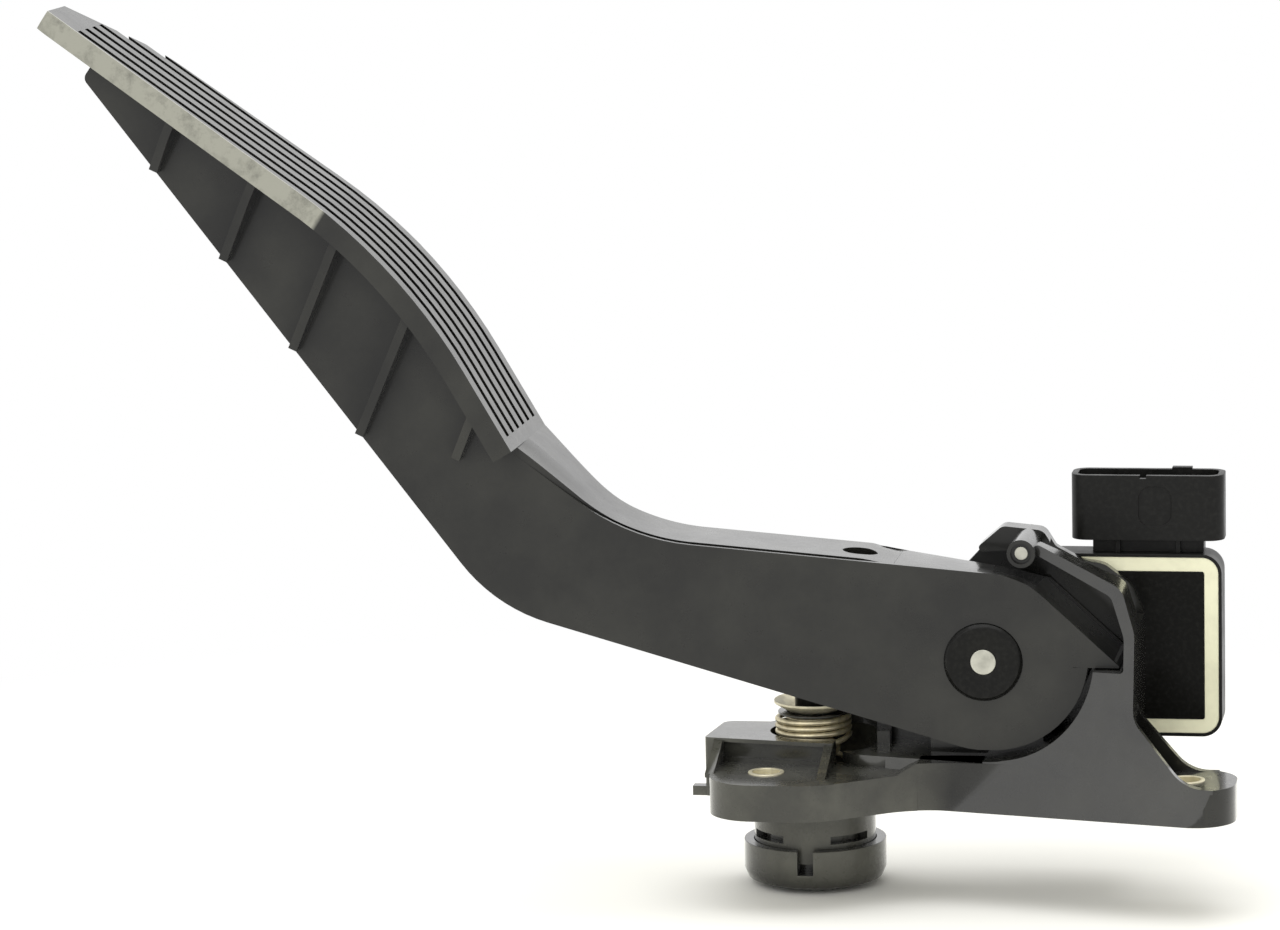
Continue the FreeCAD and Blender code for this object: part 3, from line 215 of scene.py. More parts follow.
NYLON_CLOUD = {"Scale": 1 / (34 * MM), "Detail": 5.0, "Roughness": 0.62}    # paler patches
NYLON_CLOUD_DARK = 0.38         # cloud values at which the dark and the pale colour are full
NYLON_CLOUD_PALE = 0.72
NYLON_WEAR = {"Scale": 1 / (9 * MM), "Detail": 6.0, "Roughness": 0.7}       # shinier and duller patches
NYLON_WEAR_FROM = 0.3
NYLON_WEAR_TO = 0.75
NYLON_SHINIER = 0.06            # change of roughness in these patches
NYLON_DULLER = 0.1
NYLON_GRAIN_DETAIL = 2.0
NYLON_GRAIN_DEPTH = 0.05 * MM
NYLON_SHEEN = {"IOR": 1.3, "Coat Weight": 1.0, "Coat IOR": 1.32, "Coat Roughness": 0.12}
CREVICE = 9 * MM                # reach of the shade in inner corners
CREVICE_RAYS = 6


def nylon(name, base, bloom, grain_size, rough, bump, edge_highlight=None, left_sheen=None):
    """Glass-filled nylon, injection moulded in spark-eroded tools.

    The eye sees a dark grey skin with a fine grain, a bright broad sheen at grazing angles,
    and cloudy paler patches where glass and handling dull the surface. A pale colour is
    painted on the pad's tapered near edge: a painted highlight in place of a lamp's reflection.
    A paler pair of colours is painted over the base left of its waist: a painted sheen.
    Inner corners, where light hardly gets in, are darker.
    """
    made, tree, place = new_material(name)
    clouds = add_node(tree, "ShaderNodeTexNoise", NYLON_CLOUD, {"Vector": place}).outputs["Fac"]
    wear = add_node(tree, "ShaderNodeTexNoise", NYLON_WEAR, {"Vector": place}).outputs["Fac"]
    # Real grain is about 0.1 mm; drawn coarser so that it shows in the render
    grain = add_node(tree, "ShaderNodeTexNoise", {"Scale": 1 / grain_size, "Detail": NYLON_GRAIN_DETAIL},
                     {"Vector": place})
    mottle = add_node(tree, "ShaderNodeValToRGB", links={"Fac": clouds},
                      stops=[(NYLON_CLOUD_DARK, linear(base)), (NYLON_CLOUD_PALE, linear(bloom))])
    colour = mottle.outputs["Color"]
    # Painted sheen: paler colours painted over the base left of its waist
    if left_sheen:
        sheened = add_node(tree, "ShaderNodeValToRGB", links={"Fac": clouds},
                           stops=[(NYLON_CLOUD_DARK, linear(left_sheen[0])), (NYLON_CLOUD_PALE, linear(left_sheen[1]))])
        mixed = add_node(tree, "ShaderNodeMix", data_type="RGBA",
                         links={MIX_FACTOR: left_sheen_mask(tree, place), MIX_A: colour,
                                MIX_B: sheened.outputs["Color"]})
        colour = mixed.outputs[MIX_RESULT]
    # Painted highlight: the pad's tapered near edge drawn pale, broken up by the wear noise
    if edge_highlight:
        highlight_patches = add_node(tree, "ShaderNodeMath", links={0: pad_edge_highlight_mask(tree, place), 1: wear},
                        operation="MULTIPLY")
        strength = add_node(tree, "ShaderNodeMapRange", {"From Min": HIGHLIGHT_FROM, "From Max": HIGHLIGHT_FULL},
                            {"Value": highlight_patches.outputs[0]})
        mixed = add_node(tree, "ShaderNodeMix", {MIX_B: linear(edge_highlight)},
                         {MIX_FACTOR: strength.outputs["Result"], MIX_A: colour}, data_type="RGBA")
        colour = mixed.outputs[MIX_RESULT]
    shaded = add_node(tree, "ShaderNodeAmbientOcclusion", {"Distance": CREVICE}, {"Color": colour},
                      samples=CREVICE_RAYS)
    roughness = add_node(tree, "ShaderNodeMapRange",
                         {"From Min": NYLON_WEAR_FROM, "From Max": NYLON_WEAR_TO,
                          "To Min": rough - NYLON_SHINIER, "To Max": rough + NYLON_DULLER}, {"Value": wear})
    skin = add_node(tree, "ShaderNodeBump", {"Strength": bump, "Distance": NYLON_GRAIN_DEPTH},
                    {"Height": grain.outputs["Fac"]})
    shader = add_node(tree, "ShaderNodeBsdfPrincipled", NYLON_SHEEN,
                      {"Base Color": shaded.outputs["Color"], "Roughness": roughness.outputs["Result"],
                       "Normal": skin.outputs["Normal"]})
    add_node(tree, "ShaderNodeOutputMaterial", links={"Surface": shader.outputs["BSDF"]})
    return made


POLYESTER_WAVE = {"Scale": 1 / (6 * MM), "Detail": 3.0}
POLYESTER_WAVE_FROM = 0.3
POLYESTER_WAVE_TO = 0.7
POLYESTER_WAVE_BUMP = {"Strength": 0.25, "Distance": 0.05 * MM}
POLYESTER_SHINIER = 0.05        # change of roughness along the waves
POLYESTER_DULLER = 0.08
POLYESTER_DUST = {"Scale": 1 / (1.1 * MM), "Detail": 4.0}
POLYESTER_DUST_FROM = 0.45
POLYESTER_DUST_FULL = 0.85
POLYESTER_DUST_TONE = 2.2
POLYESTER_IOR = 1.57


def polyester(name, base, rough, shine):
    """Black polyester of the sensor, moulded in polished tools: smooth, a little glossy, faintly wavy."""
    made, tree, place = new_material(name)
    wave = add_node(tree, "ShaderNodeTexNoise", POLYESTER_WAVE, {"Vector": place}).outputs["Fac"]
    dust = add_node(tree, "ShaderNodeTexNoise", POLYESTER_DUST, {"Vector": place}).outputs["Fac"]
    dark = linear(base)
    pale = toned(dark, POLYESTER_DUST_TONE)
    colour = add_node(tree, "ShaderNodeValToRGB", links={"Fac": dust},
                      stops=[(POLYESTER_DUST_FROM, dark), (POLYESTER_DUST_FULL, pale)])
    roughness = add_node(tree, "ShaderNodeMapRange",
                         {"From Min": POLYESTER_WAVE_FROM, "From Max": POLYESTER_WAVE_TO,
                          "To Min": rough - POLYESTER_SHINIER, "To Max": rough + POLYESTER_DULLER},
                         {"Value": wave})
    skin = add_node(tree, "ShaderNodeBump", POLYESTER_WAVE_BUMP, {"Height": wave})
    shader = add_node(tree, "ShaderNodeBsdfPrincipled", {"IOR": POLYESTER_IOR, "Specular IOR Level": shine},
                      {"Base Color": colour.outputs["Color"], "Roughness": roughness.outputs["Result"],
                       "Normal": skin.outputs["Normal"]})
    add_node(tree, "ShaderNodeOutputMaterial", links={"Surface": shader.outputs["BSDF"]})
    return made


ZINC_CRYSTAL = 0.5 * MM
ZINC_DULLER = 0.14              # roughness gained towards a crystal's edge
ZINC_STAIN = {"Scale": 1 / (3 * MM), "Detail": 4.0}
ZINC_STAIN_FULL = 0.35
ZINC_STAIN_NONE = 0.62
ZINC_STAIN_TONE = 0.75


def zinc_plate(name, base, rough, metal):
    """Zinc-plated steel: bright grey metal with a fine crystal mottle and dull spots."""
    made, tree, place = new_material(name)
    # Real crystals are far finer; drawn coarser so that they show in the render
    crystals = add_node(tree, "ShaderNodeTexVoronoi", {"Scale": 1 / ZINC_CRYSTAL}, {"Vector": place})
    stain = add_node(tree, "ShaderNodeTexNoise", ZINC_STAIN, {"Vector": place}).outputs["Fac"]
    bright = linear(base)
    colour = add_node(tree, "ShaderNodeValToRGB", links={"Fac": stain},
                      stops=[(ZINC_STAIN_FULL, toned(bright, ZINC_STAIN_TONE)), (ZINC_STAIN_NONE, bright)])
    roughness = add_node(tree, "ShaderNodeMapRange", {"To Min": rough, "To Max": rough + ZINC_DULLER},
                         {"Value": crystals.outputs["Distance"]})
    shader = add_node(tree, "ShaderNodeBsdfPrincipled", {"Metallic": metal},
                      {"Base Color": colour.outputs["Color"], "Roughness": roughness.outputs["Result"]})
    add_node(tree, "ShaderNodeOutputMaterial", links={"Surface": shader.outputs["BSDF"]})
    return made


WIRE_FILM = {"Scale": 1 / (1.6 * MM), "Detail": 4.0}
WIRE_FILM_FULL = 0.3
WIRE_FILM_NONE = 0.65
WIRE_FILM_TONE = 0.7
WIRE_FINISH = {"Metallic": 0.75, "Roughness": 0.4}


def drawn_wire(name, base):
    """Drawn spring wire: pale metal under a thin, cloudy film of oil."""
    made, tree, place = new_material(name)
    film = add_node(tree, "ShaderNodeTexNoise", WIRE_FILM, {"Vector": place}).outputs["Fac"]
    bright = linear(base)
    colour = add_node(tree, "ShaderNodeValToRGB", links={"Fac": film},
                      stops=[(WIRE_FILM_FULL, toned(bright, WIRE_FILM_TONE)), (WIRE_FILM_NONE, bright)])
    shader = add_node(tree, "ShaderNodeBsdfPrincipled", WIRE_FINISH, {"Base Color": colour.outputs["Color"]})
    add_node(tree, "ShaderNodeOutputMaterial", links={"Surface": shader.outputs["BSDF"]})
    return made


RESIN_CLOUD = {"Scale": 1 / (4 * MM), "Detail": 3.0}
RESIN_CLOUD_DEEP = 0.3
RESIN_CLOUD_PALE = 0.6
RESIN_BUMP = {"Strength": 0.3, "Distance": 0.1 * MM}
RESIN_IOR = 1.45


def cast_resin(name, base, rough, tone):
    """Smooth poured or machined polymer with a slight cloudiness below the skin."""
    made, tree, place = new_material(name)
    cloud = add_node(tree, "ShaderNodeTexNoise", RESIN_CLOUD, {"Vector": place}).outputs["Fac"]
    pale = linear(base)
    colour = add_node(tree, "ShaderNodeValToRGB", links={"Fac": cloud},
                      stops=[(RESIN_CLOUD_DEEP, toned(pale, tone)), (RESIN_CLOUD_PALE, pale)])
    skin = add_node(tree, "ShaderNodeBump", RESIN_BUMP, {"Height": cloud})
    shader = add_node(tree, "ShaderNodeBsdfPrincipled", {"IOR": RESIN_IOR, "Roughness": rough},
                      {"Base Color": colour.outputs["Color"], "Normal": skin.outputs["Normal"]})
    add_node(tree, "ShaderNodeOutputMaterial", links={"Surface": shader.outputs["BSDF"]})
    return made


BRONZE_LINES = {"Scale": 1 / (0.5 * MM), "Distortion": 2.0, "Detail": 2.0}
BRONZE_LINE_DULL = 0.2
BRONZE_LINE_BRIGHT = 0.8
BRONZE_LINE_TONE = 0.7
BRONZE_FINISH = {"Metallic": 1.0, "Roughness": 0.28}


def phosphor_bronze(name, base):
    """Stamped phosphor bronze: warm metal with fine rolling lines along the strip."""
    made, tree, place = new_material(name)
    # Real rolling lines are far finer; drawn coarser so that they show in the render
    lines = add_node(tree, "ShaderNodeTexWave", BRONZE_LINES, {"Vector": place}).outputs["Fac"]
    bright = linear(base)
    dull = toned(bright, BRONZE_LINE_TONE)
    colour = add_node(tree, "ShaderNodeValToRGB", links={"Fac": lines},
                      stops=[(BRONZE_LINE_DULL, dull), (BRONZE_LINE_BRIGHT, bright)])
    shader = add_node(tree, "ShaderNodeBsdfPrincipled", BRONZE_FINISH,
                      {"Base Color": colour.outputs["Color"]})
    add_node(tree, "ShaderNodeOutputMaterial", links={"Surface": shader.outputs["BSDF"]})
    return made


# Shapes

WELD_REACH = 0.002 * MM
FLAT_ANGLE = math.radians(1.0)          # faces closer than this in direction become one
ROUND_ANGLE = math.radians(35)          # edges sharper than this are rounded
ROUND_SEGMENTS = 2
SHARP_EDGE = math.radians(28)           # edges of a moulded piece that stay sharp
HEXAGON = math.cos(math.radians(30))    # flat-to-flat share of the CAD wire's width
COIL_GAP = 0.17 * MM                    # between close turns
COIL_STEPS = 36                         # points to a turn
WIRE_SIDES = 12


def dress(node, material, edge):
    """Gives a CAD node its material and small rounded edges, without touching its own mesh."""
    piece = NODES[node]
    piece.data.materials.clear()
    piece.data.materials.append(material)
    weld = piece.modifiers.new("weld", "WELD")
    weld.merge_threshold = WELD_REACH
    flat = piece.modifiers.new("flat", "DECIMATE")
    flat.decimate_type = "DISSOLVE"
    flat.angle_limit = FLAT_ANGLE
    round_off = piece.modifiers.new("edge", "BEVEL")
    round_off.width = edge
    round_off.segments = ROUND_SEGMENTS
    round_off.limit_method = "ANGLE"
    round_off.angle_limit = ROUND_ANGLE
    for polygon in piece.data.polygons:
        polygon.use_smooth = True
    smooth = piece.modifiers.new("normals", "WEIGHTED_NORMAL")
    smooth.keep_sharp = False


def closed_bar(mesh, rows):
    """Closed bar through rings of points, all with the same count."""
    rings = [[mesh.verts.new(point) for point in row] for row in rows]
    count = len(rings[0])
    for first, second in zip(rings, rings[1:]):
        for k in range(count):
            mesh.faces.new((first[k], first[(k + 1) % count], second[(k + 1) % count], second[k]))
    mesh.faces.new(rings[0][::-1])
    mesh.faces.new(rings[-1])


def smooth_object(name, mesh, material, sharp=None):
    """Object of a mesh with smooth faces; edges from a sharp angle on stay sharp."""
    bmesh.ops.recalc_face_normals(mesh, faces=mesh.faces)
    for face in mesh.faces:
        face.smooth = True
    if sharp:
        for edge in mesh.edges:
            edge.smooth = edge.calc_face_angle(math.pi) < sharp
    data = bpy.data.meshes.new(name)
    mesh.to_mesh(data)
    mesh.free()
    data.materials.append(material)
    made = bpy.data.objects.new(name, data)
    bpy.context.scene.collection.objects.link(made)
    return made


def moulded_piece(name, mesh, material, body):
    """Small moulded form that rides on a body."""
    made = smooth_object(name, mesh, material, SHARP_EDGE)
    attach(made, body)


def spring_points(mean_r, height, turns, top_turns, pitch):
    """Centre line of a compression spring: one close turn below, some close turns above."""
    open_turns = turns - 1 - top_turns
    open_pitch = (height - pitch * (1 + top_turns)) / open_turns
    points = []
    for step in range(round(turns * COIL_STEPS) + 1):
        turn = step / COIL_STEPS
        opened = min(max(turn - 1, 0), open_turns)
        angle = 2 * math.pi * turn
        points.append(Vector((mean_r * math.cos(angle), mean_r * math.sin(angle),
                              pitch * (turn - opened) + open_pitch * opened)))
    return points


def wire_rings(centre, points, wire_r):
    """Rings of a round wire along a line of points about an upright axis."""
    rings = []
    for i, point in enumerate(points):
        tangent = (points[min(i + 1, len(points) - 1)] - points[max(i - 1, 0)]).normalized()
        outward = Vector((point.x, point.y, 0)).normalized()
        up = tangent.cross(outward).normalized()
        outward = up.cross(tangent)
        ring = []
        for k in range(WIRE_SIDES):
            a = 2 * math.pi * k / WIRE_SIDES
            ring.append(centre + point + (outward * math.cos(a) + up * math.sin(a)) * wire_r)
        rings.append(ring)
    return rings


def return_spring(node, name, wire_r, turns, top_turns, material):
    """Spring of round wire in place of the CAD's six-sided one."""
    low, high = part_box(node)
    middle = (low + high) / 2
    anchor = Vector((middle.x, middle.y, low.z))
    mean_r = (high.x - low.x) / 2 - wire_r * HEXAGON
    points = spring_points(mean_r, high.z - low.z - 2 * wire_r, turns, top_turns, 2 * wire_r + COIL_GAP)
    mesh = bmesh.new()
    closed_bar(mesh, wire_rings(anchor + Vector((0, 0, wire_r)), points, wire_r))
    made = smooth_object(name, mesh, material)
    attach(made, "housing")
    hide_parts(node)
    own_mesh(made)


WAIST_CURVE_R = 20 * MM         # the base's plan curve between left tab and near wall
WAIST_LEAN_R = 51.2 * MM        # the same curve at the deck's height, where the wall leans back
WAIST_STEPS = 12
WAIST_RISE_START = -19.4 * MM   # tab's top climbs to the deck from here
WAIST_X = -14.4 * MM            # the curve's middle
WAIST_Y = 0.41 * MM
WAIST_HEADING = 13.65           # heading of the curve at its middle, degrees
WALL_HEADING = -12.5            # heading of the near wall
TAB_TOP = 9.1 * MM
DECK_TOP = 11.9 * MM
WAIST_DEPTH = 9 * MM            # blend's own depth, sunk in the base
WAIST_GAP = 0.1                 # between the blend's two parts, degrees
WAIST_SINK = 0.05 * MM          # below the tab's top, and above the base's underside


def curve_point(radius, heading):
    """Point of a concave plan curve that starts at the waist's middle, at a later heading."""
    start = math.radians(WAIST_HEADING)
    now = math.radians(heading)
    return (WAIST_X + radius * (math.sin(start) - math.sin(now)),
            WAIST_Y + radius * (math.cos(now) - math.cos(start)))


def waist_blend(material):
    """Smooth hollow between the left tab's side and the leaning near wall."""
    rows = []
    back = (WAIST_X - WAIST_RISE_START) / WAIST_CURVE_R
    rise = math.degrees(math.asin(math.sin(math.radians(WAIST_HEADING)) + back))
    for step in range(WAIST_STEPS + 1):
        share = step / WAIST_STEPS
        x, y = curve_point(WAIST_CURVE_R, rise + (WAIST_HEADING - rise) * share)
        rows.append(((x, y, TAB_TOP - WAIST_SINK), (x, y, TAB_TOP + (DECK_TOP - TAB_TOP) * share)))
    first = WAIST_HEADING - WAIST_GAP
    for step in range(WAIST_STEPS + 1):
        heading = first + (WALL_HEADING - first) * step / WAIST_STEPS
        rows.append((curve_point(WAIST_CURVE_R, heading) + (WAIST_SINK,),
                     curve_point(WAIST_LEAN_R, heading) + (DECK_TOP,)))
    rings = []
    for low, high in rows:
        behind = [(x, y + WAIST_DEPTH, z) for x, y, z in (high, low)]
        rings.append([low, high] + behind)
    mesh = bmesh.new()
    closed_bar(mesh, rings)
    moulded_piece("waist_blend", mesh, material, "housing")


SKIN_START = (-116.12 * MM, 88.24 * MM)     # arm's upper face inside the pad, X and Z
SKIN_LENGTH = 102 * MM
SKIN_STEP = 0.5 * MM
SKIN_ACROSS = 5                 # points across each half of the skin
SKIN_LIFT = 0.3 * MM            # above the lip on the arm's near edge
SKIN_SINK = 0.45 * MM           # below it
SKIN_LEAST = 0.05 * MM          # its thickness where it runs out
SKIN_END = 9 * MM               # length over which its lower end sinks into the arm
NECK_FALL = 36.65               # fall of the arm's upper face below the pad, degrees
ARM_FALL = 4.9                  # and beside the hub
NECK_STRAIGHT = 21.03 * MM
NECK_BEND_R = 55 * MM
ARM_MIDDLE = 18.4 * MM          # Y of the arm's middle plane
ARM_NEAR = 9.6 * MM             # skin's near edge before that plane
ARM_FAR = 11.95 * MM            # and its far edge behind it
FLARE_FAR = 21.4 * MM           # its far edge at the pad
FLARE_LENGTH = 32 * MM
FLARE_HOLLOW = 2.4              # power of the far edge's hollow curve
FLARE_T = 2.6 * MM
PAD_START = 2.9 * MM            # length of the skin inside the pad
PAD_BLEND = 30 * MM             # length over which the skin settles to its height
PAD_DIP = 2.3 * MM              # its height at the pad's near corner
PAD_FLUSH = 3.08 * MM           # and from the middle to the far corner
OIL_HOLE_X = -30.3 * MM
OIL_HOLE_R = 4.3 * MM
BEVEL_X = -28.4 * MM            # hub's sloping bevel: start, height there, and fall along X and Y
BEVEL_Z = 61.35 * MM
BEVEL_FALL_X = 0.18
BEVEL_FALL_Y = 0.256


def smooth_share(value):
    """0 to 1 with soft ends."""
    value = min(max(value, 0.0), 1.0)
    return value * value * (3 - 2 * value)


def arm_top_line():
    """Stations along the arm's upper face from the pad down to the hub: distance, X and Z."""
    steep = math.radians(NECK_FALL)
    gentle = math.radians(ARM_FALL)
    x, z = SKIN_START
    stations = []
    for step in range(round(SKIN_LENGTH / SKIN_STEP) + 1):
        done = step * SKIN_STEP
        stations.append((done, x, z))
        turned = (done + SKIN_STEP / 2 - NECK_STRAIGHT) / NECK_BEND_R
        fall = min(max(steep - turned, gentle), steep)
        x += SKIN_STEP * math.cos(fall)
        z -= SKIN_STEP * math.sin(fall)
    return stations


def skin_height(done, x, z, y):
    """Height of the skin a distance from the pad, at a depth from the arm's middle plane."""
    at_pad = PAD_DIP + (PAD_FLUSH - PAD_DIP) * smooth_share(1 + y / ARM_FAR)
    lift = at_pad + (SKIN_LIFT - at_pad) * smooth_share((done - PAD_START) / PAD_BLEND)
    sunk = smooth_share((done - SKIN_LENGTH + SKIN_END) / SKIN_END)
    lift += (-SKIN_SINK - lift) * sunk
    if x < BEVEL_X:
        return z + lift
    bevel = BEVEL_Z - BEVEL_FALL_X * (x - BEVEL_X) - BEVEL_FALL_Y * (y - ARM_FAR)
    return min(z, bevel) + lift


def arm_skin(material):
    """Pale upper face of the arm, set between a thin near lip and the far edge, widening into the pad."""
    mesh = bmesh.new()
    near_rows = []
    far_rows = []
    for done, x, z in arm_top_line():
        hole = math.sqrt(max(OIL_HOLE_R ** 2 - (x - OIL_HOLE_X) ** 2, 0.0))
        flare = min(max(1 - (done - PAD_START) / FLARE_LENGTH, 0.0), 1.0) ** FLARE_HOLLOW
        near = ARM_FAR + (ARM_NEAR - ARM_FAR) * smooth_share((done - PAD_START) / PAD_BLEND)
        far = ARM_FAR + (FLARE_FAR - ARM_FAR) * flare
        halves = ((near_rows, -near, -hole, SKIN_SINK), (far_rows, hole, far, FLARE_T))
        for rows, first, last, depth in halves:
            ring = []
            for k in range(SKIN_ACROSS):
                y = first + (last - first) * k / (SKIN_ACROSS - 1)
                ring.append((x, ARM_MIDDLE + y, skin_height(done, x, z, y)))
            for y in (last, first):
                low = min(z - depth, skin_height(done, x, z, y) - SKIN_LEAST)
                ring.append((x, ARM_MIDDLE + y, low))
            rows.append(ring)
    closed_bar(mesh, near_rows)
    closed_bar(mesh, far_rows)
    moulded_piece("arm_skin", mesh, material, "pedal")


# Operators

LEVER_FINISH = (0.3, 0.3)       # roughness and strength of the grain
BASE_FINISH = (0.27, 0.2)
PLATE_FINISH = (0.3, 1.0)       # roughness and share of metal
CHROMATE_FINISH = (0.36, 0.55)
CAP_FINISH = (0.22, 0.12)       # roughness and shine
TRAY_FINISH = (0.34, 0.16)
COVER_FINISH = (0.2, 0.06)
ACETAL_FINISH = (0.35, 0.8)     # roughness and tone of the deeper clouds
RUBBER_FINISH = (0.6, 0.7)
SILICONE_FINISH = (0.45, 0.9)
BOARD_FINISH = (0.3, 0.7)
OUTER_SPRING = (0.7 * MM, 8, 3)     # wire's radius, turns, close turns above
INNER_SPRING = (0.6 * MM, 7, 1)
WIPER_FINER = 3                 # wipers' edges are as many times finer than other metal edges


class PEDAL_OT_nylon(bpy.types.Operator):
    """Dress lever, base and spring cap in glass-filled nylon"""
    bl_idname = "pedal.nylon"
    bl_label = "Lever and base"

    def execute(self, context):
        colours = context.scene.pedal_colours
        sizes = context.scene.pedal_sizes
        lever = nylon("nylon_lever", colours.nylon, colours.nylon_bloom, sizes.grain, *LEVER_FINISH,
                      edge_highlight=colours.edge_highlight)
        base = nylon("nylon_base", colours.base_nylon, colours.base_bloom, sizes.grain, *BASE_FINISH,
                     left_sheen=(colours.left_sheen_nylon, colours.left_sheen_bloom))
        dress("pedal_arm", lever, sizes.moulded_edge)
        dress("base_housing", base, sizes.moulded_edge)
        dress("spring_cap", base, sizes.moulded_edge)
        dress("spring_plug", base, sizes.metal_edge)
        waist_blend(base)
        arm_skin(lever)
        return {"FINISHED"}


class PEDAL_OT_steel(bpy.types.Operator):
    """Dress sleeves, pins, shaft, seat and screws in zinc plate"""
    bl_idname = "pedal.steel"
    bl_label = "Steel pieces"

    def execute(self, context):
        sizes = context.scene.pedal_sizes
        colours = context.scene.pedal_colours
        plate = zinc_plate("zinc_plate", colours.zinc, *PLATE_FINISH)
        yellow = zinc_plate("chromate_plate", colours.chromate, *CHROMATE_FINISH)
        for node in ("lug_pin", "pivot_shaft", "sensor_screws"):
            dress(node, plate, sizes.metal_edge)
        for node in ("mount_sleeves", "upper_spring_seat"):
            dress(node, yellow, sizes.metal_edge)
        return {"FINISHED"}


class PEDAL_OT_springs(bpy.types.Operator):
    """Wind both return springs with close end coils"""
    bl_idname = "pedal.springs"
    bl_label = "Return springs"

    def execute(self, context):
        wire = drawn_wire("spring_wire", context.scene.pedal_colours.wire)
        return_spring("outer_return_spring", "outer_spring_wound", *OUTER_SPRING, wire)
        return_spring("inner_return_spring", "inner_spring_wound", *INNER_SPRING, wire)
        return {"FINISHED"}


class PEDAL_OT_bearing(bpy.types.Operator):
    """Dress pivot cap, bushes, washers and shaft seal"""
    bl_idname = "pedal.bearing"
    bl_label = "Bearing pieces"

    def execute(self, context):
        colours = context.scene.pedal_colours
        sizes = context.scene.pedal_sizes
        dress("pivot_cap", polyester("polyester_cap", colours.polyester, *CAP_FINISH), sizes.metal_edge)
        slip = cast_resin("acetal", colours.acetal, *ACETAL_FINISH)
        for node in ("pivot_bushes", "thrust_washers", "sensor_rotor"):
            dress(node, slip, sizes.metal_edge)
        dress("shaft_seal", cast_resin("nitrile_rubber", colours.rubber, *RUBBER_FINISH), sizes.metal_edge)
        return {"FINISHED"}


class PEDAL_OT_sensor(bpy.types.Operator):
    """Dress the sensor: tray, cover, sealant, board, blades and wipers"""
    bl_idname = "pedal.sensor"
    bl_label = "Sensor"

    def execute(self, context):
        colours = context.scene.pedal_colours
        sizes = context.scene.pedal_sizes
        tray = polyester("polyester_tray", colours.polyester, *TRAY_FINISH)
        cover = polyester("polyester_cover", colours.polyester, *COVER_FINISH)
        dress("sensor_housing", tray, sizes.moulded_edge)
        dress("sensor_cover", cover, sizes.metal_edge)
        dress("sensor_sealant", cast_resin("silicone", colours.silicone, *SILICONE_FINISH), sizes.metal_edge)
        dress("sensor_board", cast_resin("solder_mask", colours.board, *BOARD_FINISH), sizes.metal_edge)
        strip = phosphor_bronze("phosphor_bronze", colours.bronze)
        dress("connector_terminals", strip, sizes.metal_edge)
        dress("rotor_wipers", strip, sizes.metal_edge / WIPER_FINER)
        return {"FINISHED"}


class PEDAL_OT_stage(bpy.types.Operator):
    """Set floor, lamps, world and camera"""
    bl_idname = "pedal.stage"
    bl_label = "Studio"

    def execute(self, context):
        scene = context.scene
        scene.view_settings.view_transform = "Standard"
        lay_floor(scene)
        light_world(scene)
        hang_lamps(scene)
        place_camera(scene)
        return {"FINISHED"}


# Studio

FLOOR_DROP = 1.0 * MM       # floor below the part's lowest point
FLOOR_SIZE = 12.0
PAPER = "FAFAF8"
WHITE = "FFFFFF"
SOFT_WHITE = "FFFDF4"
SOFT_LEVEL = 0.85           # strength of the light from all round
LAMPS = (                   # name, place, size in metres, power in watts
    ("overhead_box", (-0.1, 0.1, 1.1), 1.2, 9.0),
    ("front_box", (-0.5, -1.2, 0.7), 0.9, 3.8),
)
FADE_FROM = 0.16            # shadow kept up to here from the part's middle
FADE_TO = 0.34              # plain white beyond
TARGET = Vector((-85.5, 18.4, 83.0)) * MM
CAMERA_AZIMUTH = 10.5
CAMERA_ELEVATION = 9.3
CAMERA_ROLL = -1.25
CAMERA_DISTANCE = 1350 * MM
FOCAL_PIXELS = 5400.0
IMAGE_WIDTH = 1280.0
CLIP_START = 10 * MM
SENSOR_WIDTH = 36.0


def seen_directly(tree):
    """Socket that is 1 for rays that show the background: camera, glossy and transmitted ones."""
    path = add_node(tree, "ShaderNodeLightPath").outputs
    mirror = add_node(tree, "ShaderNodeMath", links={0: path["Is Camera Ray"], 1: path["Is Glossy Ray"]},
                      operation="MAXIMUM")
    both = add_node(tree, "ShaderNodeMath",
                    links={0: mirror.outputs[0], 1: path["Is Transmission Ray"]}, operation="MAXIMUM")
    return both.outputs[0]


def lay_floor(scene):
    """Pale paper that keeps the part's shadow and fades to plain white away from it."""
    data = bpy.data.meshes.new("floor")
    half = FLOOR_SIZE / 2
    level = CAD_BOX[0].z - FLOOR_DROP
    corners = [(x, y, level) for x, y in ((-half, -half), (half, -half), (half, half), (-half, half))]
    data.from_pydata(corners, [], [(0, 1, 2, 3)])
    floor = bpy.data.objects.new("floor", data)
    scene.collection.objects.link(floor)
    made, tree, place = new_material("pale_paper")
    middle = (CAD_BOX[0] + CAD_BOX[1]) / 2
    away = add_node(tree, "ShaderNodeVectorMath", {1: (middle.x, middle.y, level)}, {0: place},
                    operation="DISTANCE")
    fade = add_node(tree, "ShaderNodeMapRange", {"From Min": FADE_FROM, "From Max": FADE_TO},
                    {"Value": away.outputs["Value"]}, interpolation_type="SMOOTHSTEP")
    plain = add_node(tree, "ShaderNodeMath", links={0: fade.outputs["Result"], 1: seen_directly(tree)},
                     operation="MULTIPLY")
    paper = add_node(tree, "ShaderNodeBsdfDiffuse", {"Color": linear(PAPER)})
    white = add_node(tree, "ShaderNodeEmission", {"Color": linear(WHITE)})
    mixed = add_node(tree, "ShaderNodeMixShader",
                     links={0: plain.outputs[0], 1: paper.outputs[0], 2: white.outputs[0]})
    add_node(tree, "ShaderNodeOutputMaterial", links={"Surface": mixed.outputs[0]})
    data.materials.append(made)


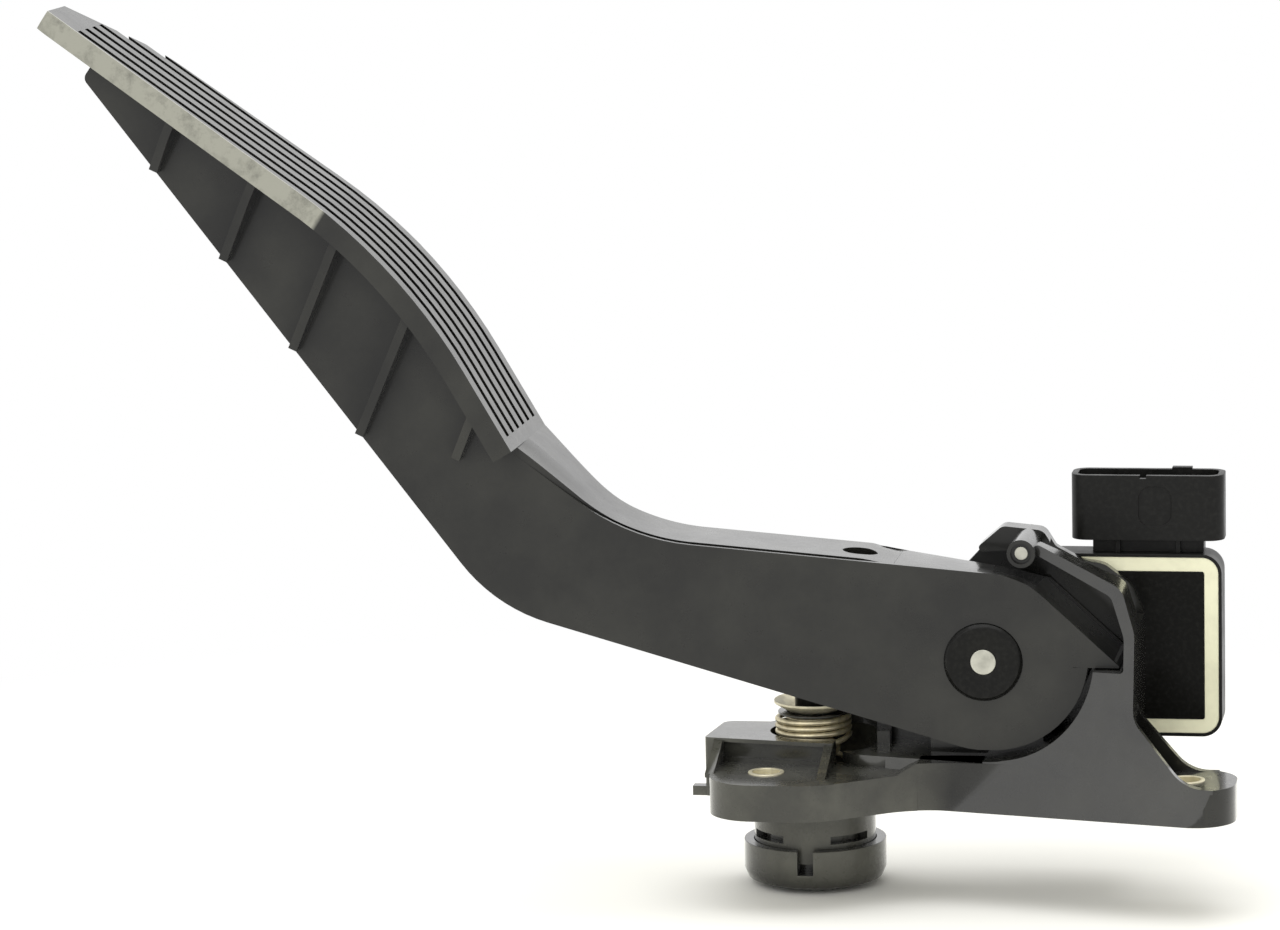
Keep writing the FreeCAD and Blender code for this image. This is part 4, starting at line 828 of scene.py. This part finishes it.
def light_world(scene):
    """Soft light from all round, seen as plain white."""
    world = bpy.data.worlds.new("studio")
    world.use_nodes = True
    tree = world.node_tree
    tree.nodes.clear()
    white = add_node(tree, "ShaderNodeBackground", {"Color": linear(WHITE), "Strength": 1.0})
    soft = add_node(tree, "ShaderNodeBackground", {"Color": linear(SOFT_WHITE), "Strength": SOFT_LEVEL})
    mixed = add_node(tree, "ShaderNodeMixShader",
                     links={0: seen_directly(tree), 1: soft.outputs[0], 2: white.outputs[0]})
    add_node(tree, "ShaderNodeOutputWorld", links={"Surface": mixed.outputs[0]})
    scene.world = world


def hang_lamps(scene):
    """Square lamps aimed at the part."""
    for name, spot, size, power in LAMPS:
        lamp = bpy.data.lights.new(name, "AREA")
        lamp.shape = "SQUARE"
        lamp.size = size
        lamp.energy = power
        made = bpy.data.objects.new(name, lamp)
        made.location = spot
        made.rotation_euler = (TARGET - made.location).to_track_quat("-Z", "Y").to_euler()
        scene.collection.objects.link(made)


def place_camera(scene):
    """Camera of the photo's view."""
    lens = bpy.data.cameras.new("photo_view")
    lens.sensor_width = SENSOR_WIDTH
    lens.lens = FOCAL_PIXELS / IMAGE_WIDTH * SENSOR_WIDTH
    lens.clip_start = CLIP_START
    made = bpy.data.objects.new("photo_view", lens)
    a = math.radians(CAMERA_AZIMUTH)
    e = math.radians(CAMERA_ELEVATION)
    back = Vector((math.sin(a) * math.cos(e), -math.cos(a) * math.cos(e), math.sin(e)))
    made.location = TARGET + back * CAMERA_DISTANCE
    aim = (-back).to_track_quat("-Z", "Y").to_matrix().to_4x4()
    made.rotation_euler = (aim @ Matrix.Rotation(math.radians(CAMERA_ROLL), 4, "Z")).to_euler()
    scene.collection.objects.link(made)
    scene.camera = made


# Panel and registration

class PEDAL_PT_looks(bpy.types.Panel):
    """Steps and settings of the pedal's looks"""
    bl_idname = "PEDAL_PT_looks"
    bl_label = "Pedal"
    bl_space_type = "VIEW_3D"
    bl_region_type = "UI"
    bl_category = "Pedal"

    def draw(self, context):
        column = self.layout.column()
        for step in STEPS:
            column.operator(step.bl_idname)
        for group in (context.scene.pedal_colours, context.scene.pedal_sizes):
            for name in group.__annotations__:
                column.prop(group, name)


STEPS = (PEDAL_OT_nylon, PEDAL_OT_steel, PEDAL_OT_springs, PEDAL_OT_bearing, PEDAL_OT_sensor,
         PEDAL_OT_stage)
CLASSES = (PedalColours, PedalSizes) + STEPS + (PEDAL_PT_looks,)


def register():
    for item in CLASSES:
        bpy.utils.register_class(item)
    bpy.types.Scene.pedal_colours = bpy.props.PointerProperty(type=PedalColours)
    bpy.types.Scene.pedal_sizes = bpy.props.PointerProperty(type=PedalSizes)


def unregister():
    del bpy.types.Scene.pedal_sizes
    del bpy.types.Scene.pedal_colours
    for item in reversed(CLASSES):
        bpy.utils.unregister_class(item)


def main():
    """Runs every step."""
    register()
    bpy.ops.pedal.nylon()
    bpy.ops.pedal.steel()
    bpy.ops.pedal.springs()
    bpy.ops.pedal.bearing()
    bpy.ops.pedal.sensor()
    bpy.ops.pedal.stage()


if __name__ == "__main__":
    main()
